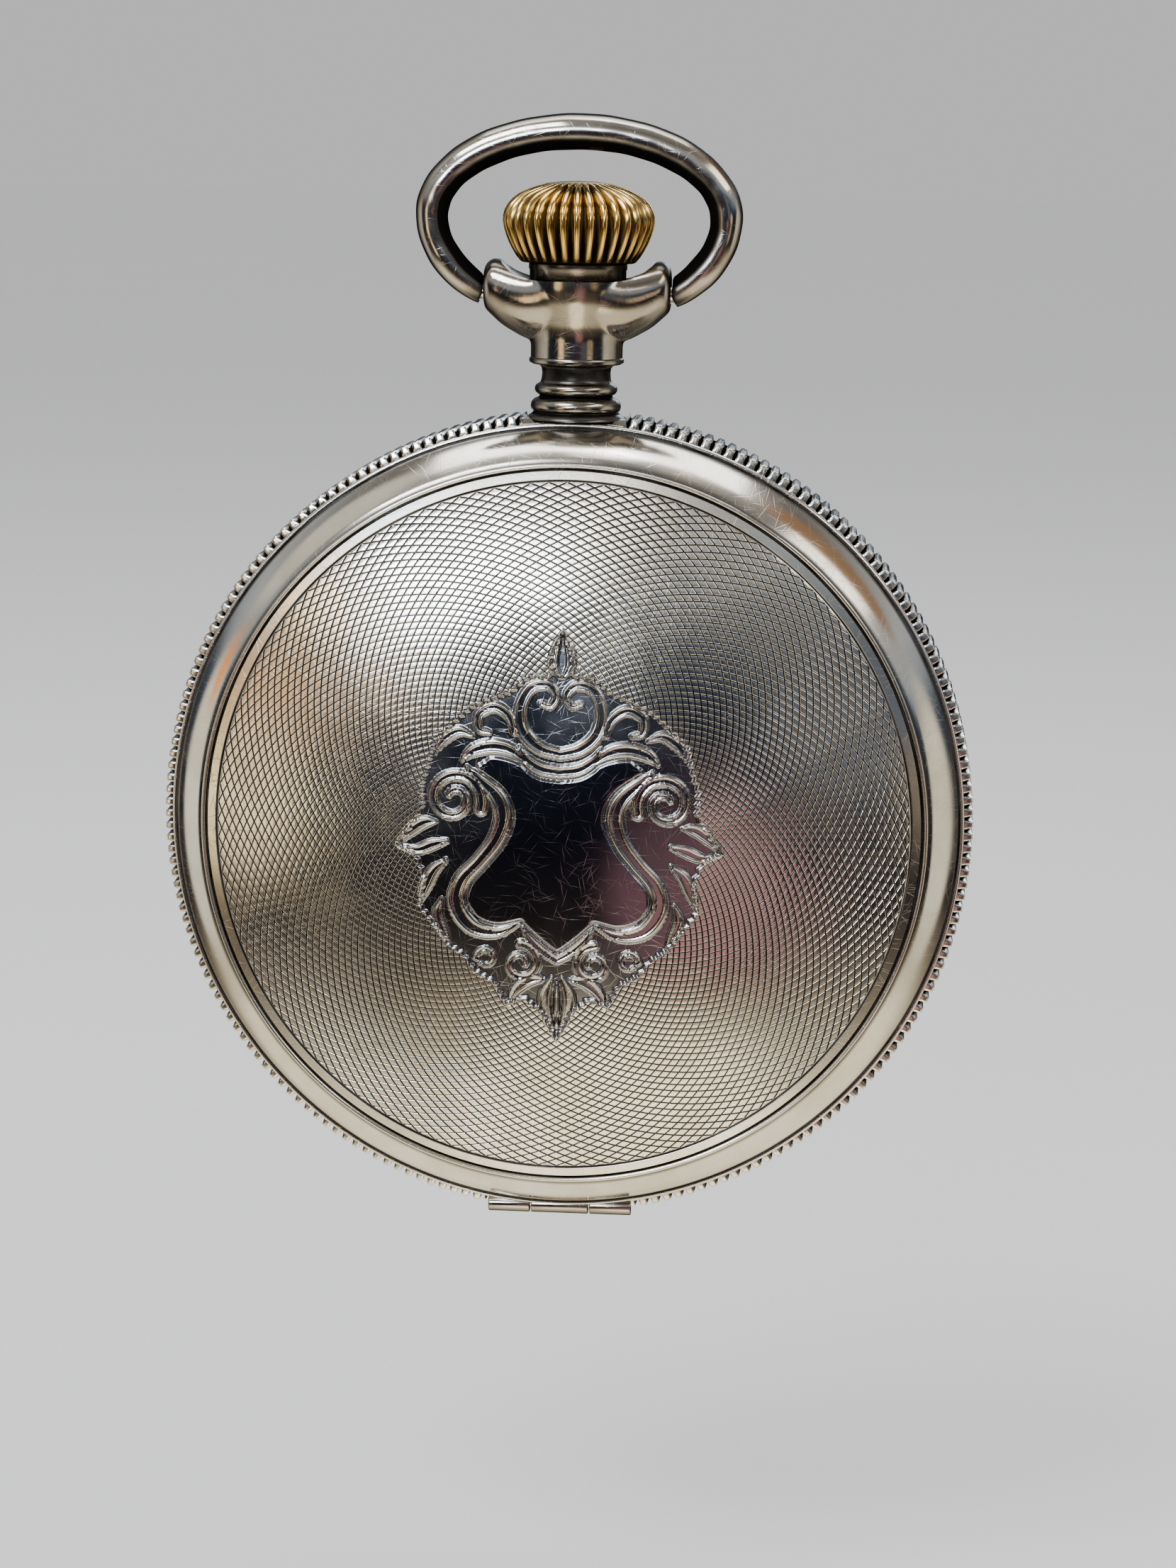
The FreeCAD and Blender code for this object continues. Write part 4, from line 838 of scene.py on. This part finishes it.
def bow():
    """An oval ring, a little thicker at its top, whose ends turn into the ears."""
    centre_z = 41.2
    wide, top, bottom = 10.05, 5.72, 6.74
    start = -math.acos((EAR_HALF + 0.02) / wide)
    steps, ring = 150, 32
    angle = np.linspace(start, math.pi - start, steps)
    height = np.where(np.sin(angle) > 0, top, bottom)
    path = np.stack([wide * np.cos(angle), centre_z + height * np.sin(angle)], -1)
    along = np.gradient(path, axis=0)
    along /= np.linalg.norm(along, axis=1)[:, None]
    normal = np.stack([along[:, 1], -along[:, 0]], -1)
    from_end = np.minimum(np.arange(steps), np.arange(steps)[::-1])
    radius = 1.08 + 0.14 * np.clip((path[:, 1] - 36) / 10.9, 0, 1) ** 2
    radius = radius * (0.84 + 0.16 * np.clip(from_end / 9.0, 0, 1) ** 0.6)
    wobble = 0.012 * np.sin(angle * 9.0) + 0.010 * np.sin(angle * 23.0 + 1.0)
    turn = np.arange(ring) * 2 * math.pi / ring
    radius = (radius + wobble)[:, None]
    x = path[:, 0][:, None] + radius * np.cos(turn) * normal[:, 0][:, None]
    z = path[:, 1][:, None] + radius * np.cos(turn) * normal[:, 1][:, None]
    gap = EAR_HALF + 0.12
    low = z < 40
    x = np.where(low & (x > 0), np.maximum(x, gap), np.where(low & (x < 0), np.minimum(x, -gap), x))
    points = np.stack([x, radius * np.sin(turn), z], -1).reshape(-1, 3)
    faces = ring_faces(steps, ring)[:-ring].tolist()
    faces += [list(range(ring)), list(range((steps - 1) * ring, steps * ring))]
    # Painted shade: the inner side of the ring darkens, and so do its ends where they go into the ears.
    inner = np.clip((-np.cos(turn) - 0.02) / 0.45, 0, 1)[None, :]
    oxide_and_painted_shade = np.maximum(inner, 0.8 * np.clip(1 - from_end / 5.0, 0, 1)[:, None])
    piece = make("bow_ring", points, faces, BOW_SILVER, "bow", attributes={"oxide_and_painted_shade": oxide_and_painted_shade.ravel()})
    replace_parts(piece, "bow")
    pin = [(0.02, -0.9), (0.5, -0.9), (0.58, -0.8), (0.58, 0.5), (0.5, 0.6), (0.02, 0.6)]
    for side, name in ((-1, "left"), (1, "right")):
        points, faces = lathe(pin, 24, axis="x", centre=(side * EAR_HALF, 0, EAR_Z))
        make("bow_pivot_" + name, points, faces, PLAIN, "bow")


def crown():
    """A ribbed onion crown: rounded ribs between sharp grooves, a smooth cap and a hollow skirt."""
    outline = [(3.55, 38.15), (3.80, 38.10), (3.95, 38.18), (4.22, 38.5), (4.50, 38.95), (4.76, 39.45),
               (4.96, 39.95), (5.10, 40.4), (5.18, 40.85), (5.17, 41.25), (5.06, 41.65), (4.84, 42.05),
               (4.52, 42.4), (4.10, 42.72), (3.55, 43.0), (2.95, 43.22), (2.45, 43.36), (2.2, 43.44),
               (1.2, 43.56), (0.02, 43.6), (0.02, 41.6), (0.7, 41.6), (0.85, 39.4), (3.55, 39.3)]

    def ribbed(r, along, angle):
        rib = np.abs(np.cos(angle * CROWN_RIBS / 2)) ** 0.85
        outer = (r > 2.3) & (along > 38.05) & ~((r < 3.6) & (along < 39.5))
        strength = np.clip((r - 2.25) / 0.8, 0, 1) * np.clip((along - 38.0) / 0.9, 0, 1)
        return r - np.where(outer, 0.70 * strength * (1 - rib), 0.0)

    points, faces = lathe(outline, CROWN_RIBS * 14, axis="z", radius_of=ribbed)
    rib = np.abs(np.cos(np.arctan2(points[:, 1], points[:, 0]) * CROWN_RIBS / 2))
    height = points[:, 2]
    # Painted shade: black in the gaps between ribs, stronger towards the bottom, and along the bottom edge.
    low = np.interp(height, [38.2, 39.2, 40.6, 41.6, 43.0], [1.0, 1.0, 0.95, 0.7, 0.5])
    gap = np.interp(height, [38.2, 39.4, 40.8, 43.0], [1.08, 0.96, 0.78, 0.70])
    oxide_and_painted_shade = np.clip((gap - rib) / 0.30, 0, 1) * (np.hypot(points[:, 0], points[:, 1]) > 2.3) * low
    oxide_and_painted_shade = np.maximum(oxide_and_painted_shade, np.interp(height, [38.2, 38.7], [1.0, 0.0]))
    piece = make("crown_ribbed", points, faces, GOLD, "crown", "crown_gold", attributes={"oxide_and_painted_shade": oxide_and_painted_shade})
    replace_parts(piece, "crown")
    sharp_by_angle(piece, 60)


# Dial

NUMERALS = ["XII", "I", "II", "III", "IIII", "V", None, "VII", "VIII", "IX", "X", "XI"]
NUMERAL_R = 16.0
NUMERAL_SIZE = 4.6


def numeral(word, x, z, y, turn):
    """A printed hour, turned about its middle."""
    curve = bpy.data.curves.new("hour", "FONT")
    curve.body = word
    curve.size = NUMERAL_SIZE / 1000
    curve.align_x = "CENTER"
    curve.align_y = "CENTER"
    curve.extrude = 0.00002
    curve.resolution_u = 4
    holder = put("hour_curve", curve)
    bpy.context.view_layer.update()
    mesh = bpy.data.meshes.new_from_object(holder.evaluated_get(bpy.context.evaluated_depsgraph_get()))
    bpy.data.objects.remove(holder)
    right, up, out = (np.array([v.co for v in mesh.vertices]) * 1000).T
    c, s = math.cos(turn), math.sin(turn)
    points = np.stack([x + c * right - s * up, y - out, z + s * right + c * up], -1)
    return points, [tuple(p.vertices) for p in mesh.polygons]


def tick(cx, angle, inner, outer, half, y0, y1):
    """A thin raised bar that points away from (cx, 0)."""
    x0, z0 = cx + inner * math.cos(angle), inner * math.sin(angle)
    x1, z1 = cx + outer * math.cos(angle), outer * math.sin(angle)
    length = math.hypot(x1 - x0, z1 - z0)
    nx, nz = -(z1 - z0) / length * half, (x1 - x0) / length * half
    corners = [(x0 + nx, z0 + nz), (x1 + nx, z1 + nz), (x1 - nx, z1 - nz), (x0 - nx, z0 - nz)]
    points = [(x, y0, z) for x, z in corners] + [(x, y1, z) for x, z in corners]
    faces = [(0, 1, 2, 3), (7, 6, 5, 4)] + [(i, (i + 1) % 4, 4 + (i + 1) % 4, 4 + i) for i in range(4)]
    return np.array(points), faces


def track(cx, inner, long_inner, outer, half, long_half, line, around, y0, y1):
    """Sixty ticks, every fifth one longer and bolder, between two printed circles."""
    parts = [tick(cx, i * math.pi / 30, inner if i % 5 else long_inner, outer, half if i % 5 else long_half,
                  y0, y1) for i in range(60)]
    for radius in (inner, outer):
        square = [(radius - line, y0), (radius + line, y0), (radius + line, y1), (radius - line, y1)]
        parts.append(lathe(square, around, centre=(cx, 0, 0)))
    return parts


def dial_marks():
    """Roman hours, a minute track and the small seconds track, printed a hair above the enamel. Twelve is
    on the left, so that three is under the pendant."""
    face_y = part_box("dial")[0].y * 1000
    y0, y1 = face_y - 0.03, face_y + 0.005
    hours = []
    for i, word in enumerate(NUMERALS):
        angle = math.pi - i * math.pi / 6
        if word:
            hours.append(numeral(word, NUMERAL_R * math.cos(angle), NUMERAL_R * math.sin(angle), y0 + 0.02,
                                 angle - math.pi / 2))
    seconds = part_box("fourth_wheel")
    cx = (seconds[0].x + seconds[1].x) * 500
    sunk = y0 + 0.12
    minutes = track(0.0, 18.9, 18.7, 19.8, 0.05, 0.16, 0.05, 240, y0, y1)
    small = track(cx, 4.1, 3.8, 4.5, 0.035, 0.07, 0.03, 120, sunk, sunk + 0.03)
    for name, parts in (("dial_print", hours + minutes), ("seconds_print", small)):
        make(name, *stacked(parts), BLACK, "case", "enamel", smooth=False)


# Carried-over parts of the frame


FINISHES = [
    (PLAIN, "front_hinge_pin back_hinge_pin dust_hinge_pin dust_cover bezel"),
    (NICKEL, "main_plate barrel_bridge train_bridge balance_cock pallet_cock"),
    (GILT, "mainspring_barrel barrel_cover centre_wheel third_wheel fourth_wheel minute_wheel hour_wheel "
           "balance_wheel balance_screws"),
    (STEEL, "pendant_sleeve crown_stem lift_spring lid_catch winding_pinion crown_wheel ratchet_wheel "
            "barrel_arbor click click_spring setting_lever mainspring escape_wheel pallet_fork balance_staff "
            "regulator cannon_pinion dial_screws"),
    (BLUED, "hour_hand minute_hand seconds_hand hairspring plate_screws case_screws ratchet_screw "
            "crown_wheel_screw"),
    (RUBY, "jewels pallet_stones roller_jewel"),
    (WHITE, "dial"),
    (GLASS, "crystal"),
]


def finish_frame():
    for material, names in FINISHES:
        for name in names.split():
            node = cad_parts[name]
            node.data.materials.clear()
            node.data.materials.append(material)


# Stage, light and camera

PAPER = 0.56
AMBIENT = 0.80
FAR_TONE = 0.488
FLOOR_Z = -0.030
FLOOR_RINGS = (0.4, 1.2, 3.0, 6.0)
FLOOR_AROUND = 96
FRAME_WIDTH = 0.081
SENSOR = 36.0

# The room's light by height: from straight below (0) to straight above (1)
ROOM_HEIGHTS = [
    (0.0, (1.20, 1.11, 0.90, 1)), (0.19, (1.05, 0.96, 0.74, 1)), (0.28, (0.26, 0.22, 0.17, 1)),
    (0.34, (0.055, 0.045, 0.042, 1)), (0.40, (0.028, 0.028, 0.038, 1)), (0.50, (0.040, 0.046, 0.065, 1)),
    (0.57, (0.065, 0.085, 0.12, 1)), (0.63, (0.36, 0.39, 0.42, 1)), (0.70, (0.46, 0.47, 0.47, 1)),
    (0.85, (0.18, 0.17, 0.155, 1)), (1.0, (0.36, 0.35, 0.33, 1)),
]
# Soft patches of light and tint, as (direction, spread, colour)
ROOM_GLOWS = [
    ((-1.0, 0.12, -0.15), 0.12, (0.90, 0.86, 0.74, 1)),
    ((1.0, 0.12, -0.15), 0.12, (0.85, 0.80, 0.66, 1)),
    ((-0.72, 0.08, 0.66), 0.07, (0.70, 0.68, 0.60, 1)),
    ((0.72, 0.08, 0.66), 0.06, (0.34, 0.21, 0.12, 1)),
    ((-0.97, 0.08, 0.22), 0.008, (1.1, 0.46, 0.14, 1)),
    ((0.04, -0.05, 1.0), 0.010, (3.5, 3.5, 3.3, 1)),
    ((-0.03, -0.94, 0.34), 0.007, (2.2, 2.1, 1.9, 1)),
    ((-0.37, -0.91, 0.195), 0.006, (4.0, 4.3, 4.6, 1)),
    ((-0.12, -0.95, 0.27), 0.006, (6.0, 6.6, 7.2, 1)),
    ((-0.29, -0.93, 0.225), 0.007, (9.0, 10.0, 11.0, 1)),
    ((-0.21, -0.94, 0.25), 0.007, (10.0, 11.0, 12.0, 1)),
    ((-0.48, -0.86, 0.19), 0.004, (3.2, 2.3, 1.2, 1)),
    ((-0.38, -0.92, 0.06), 0.004, (1.0, 0.80, 0.60, 1)),
    ((-0.54, -0.84, 0.02), 0.007, (1.1, 0.68, 0.36, 1)),
    ((-0.58, -0.80, -0.14), 0.012, (1.5, 1.25, 0.80, 1)),
    ((0.60, -0.79, -0.08), 0.012, (0.70, 0.56, 0.38, 1)),
    ((0.16, -0.94, -0.27), 0.018, (0.50, 0.27, 0.28, 1)),
    ((0.36, -0.92, 0.02), 0.016, (0.16, 0.18, 0.22, 1)),
    ((0.02, -0.74, -0.67), 0.050, (1.9, 1.75, 1.35, 1)),
]


def area(name, place, size, power, colour):
    """A rectangular light that shines straight down."""
    light = bpy.data.lights.new(name, "AREA")
    light.shape = "RECTANGLE"
    light.size, light.size_y = size
    light.energy = power
    light.color = colour
    lamp = put(name, light)
    lamp.location = place
    lamp.rotation_euler = Vector((0, 0, -1)).to_track_quat("-Z", "Y").to_euler()


def backdrop():
    """A wide pale paper floor, low enough for the opened covers. Far away it has the tone of the
    surroundings."""
    points = [(0.0, 0.0, FLOOR_Z)]
    for r in FLOOR_RINGS:
        for i in range(FLOOR_AROUND):
            angle = TAU * i / FLOOR_AROUND
            points.append((r * math.cos(angle), r * math.sin(angle), FLOOR_Z))
    faces = [(0, 1 + i, 1 + (i + 1) % FLOOR_AROUND) for i in range(FLOOR_AROUND)]
    outer = ring_faces(len(FLOOR_RINGS), FLOOR_AROUND)[:-FLOOR_AROUND] + 1
    faces += [(a, d, c, b) for a, b, c, d in outer.tolist()]
    mesh = bpy.data.meshes.new("studio_floor")
    mesh.from_pydata(points, [], faces)
    n = Surface("studio_paper")
    tone = n.mix(n.noise(n.place(), Scale=6.0), (PAPER - 0.005,) * 3 + (1,), (PAPER + 0.005,) * 3 + (1,))
    mesh.materials.append(n.set(Base_Color=tone, Roughness=1.0, Specular_IOR_Level=0.0))
    floor = put("studio_floor", mesh)
    floor.visible_glossy = False


def glow(n, direction, toward, spread, colour, base):
    """Adds a soft patch of light to the surroundings around a direction."""
    length = math.sqrt(sum(c * c for c in toward))
    dot = n.add("ShaderNodeVectorMath", operation="DOT_PRODUCT")
    n.feed(direction, dot.inputs[0])
    dot.inputs[1].default_value = tuple(c / length for c in toward)
    share = n.ramp(dot.outputs["Value"], [(1 - spread, 0.0), (1 - 0.35 * spread, 1.0)])
    share.node.color_ramp.interpolation = "EASE"
    return n.mix(share, base, colour)


def surroundings():
    """The room that the metal reflects. Its front glows are repeated behind at half strength, the floor
    gets even light, and the camera sees a plain tone."""
    world = bpy.data.worlds.new("studio")
    bpy.context.scene.world = world
    world.use_nodes = True
    n = Nodes(world.node_tree)
    out = n.add("ShaderNodeOutputWorld")
    back = n.add("ShaderNodeBackground", Strength=1.0)
    direction = n.add("ShaderNodeTexCoord").outputs["Generated"]
    colour = n.ramp(n.calc("MULTIPLY_ADD", n.split(direction)[2], 0.5, 0.5), ROOM_HEIGHTS)
    for toward, spread, tint in ROOM_GLOWS:
        colour = glow(n, direction, toward, spread, tint, colour)
        if toward[1] < -0.5:
            behind = (-toward[0], -toward[1], toward[2])
            colour = glow(n, direction, behind, spread, times(tint, 0.5), colour)
    ray = n.add("ShaderNodeLightPath")
    for kind, tone in (("Is Diffuse Ray", AMBIENT), ("Is Camera Ray", FAR_TONE)):
        colour = n.mix(ray.outputs[kind], colour, (tone, tone, tone, 1))
    n.feed(colour, back.inputs["Color"])
    n.feed(back.outputs[0], out.inputs[0])


def camera():
    """Seen from a little above and to the right, as a hand-held close-up."""
    azimuth, elevation, roll = math.radians(4.0), math.radians(9.5), math.radians(1.0)
    away = 0.270
    target = Vector((0.0015, -0.003, (CENTRE_Z + 2.6) / 1000))
    back = Vector((math.sin(azimuth) * math.cos(elevation), -math.cos(azimuth) * math.cos(elevation),
                   math.sin(elevation)))
    data = bpy.data.cameras.new("camera")
    data.sensor_fit = "HORIZONTAL"
    data.sensor_width = SENSOR
    data.lens = SENSOR * away / FRAME_WIDTH
    data.clip_start = 0.01
    view = put("camera", data)
    turn = back.to_track_quat("Z", "Y").to_matrix().to_4x4()
    view.matrix_world = Matrix.Translation(target + back * away) @ turn @ Matrix.Rotation(roll, 4, "Z")
    bpy.context.scene.camera = view


covers()
band()
pendant()
bow()
crown()
dial_marks()
finish_frame()
backdrop()
surroundings()
bpy.context.scene.view_settings.look = "AgX - Medium High Contrast"
area("key", (-0.28, -0.42, 0.55), (0.35, 0.35), 3.0, (0.95, 0.98, 1.0))
area("fill", (0.45, -0.30, 0.40), (0.3, 0.5), 1.0, (1.0, 0.95, 0.88))
area("top", (0.0, 0.15, 0.6), (0.6, 0.4), 2.0, (1.0, 1.0, 1.0))
camera()

bpy.context.view_layer.update()
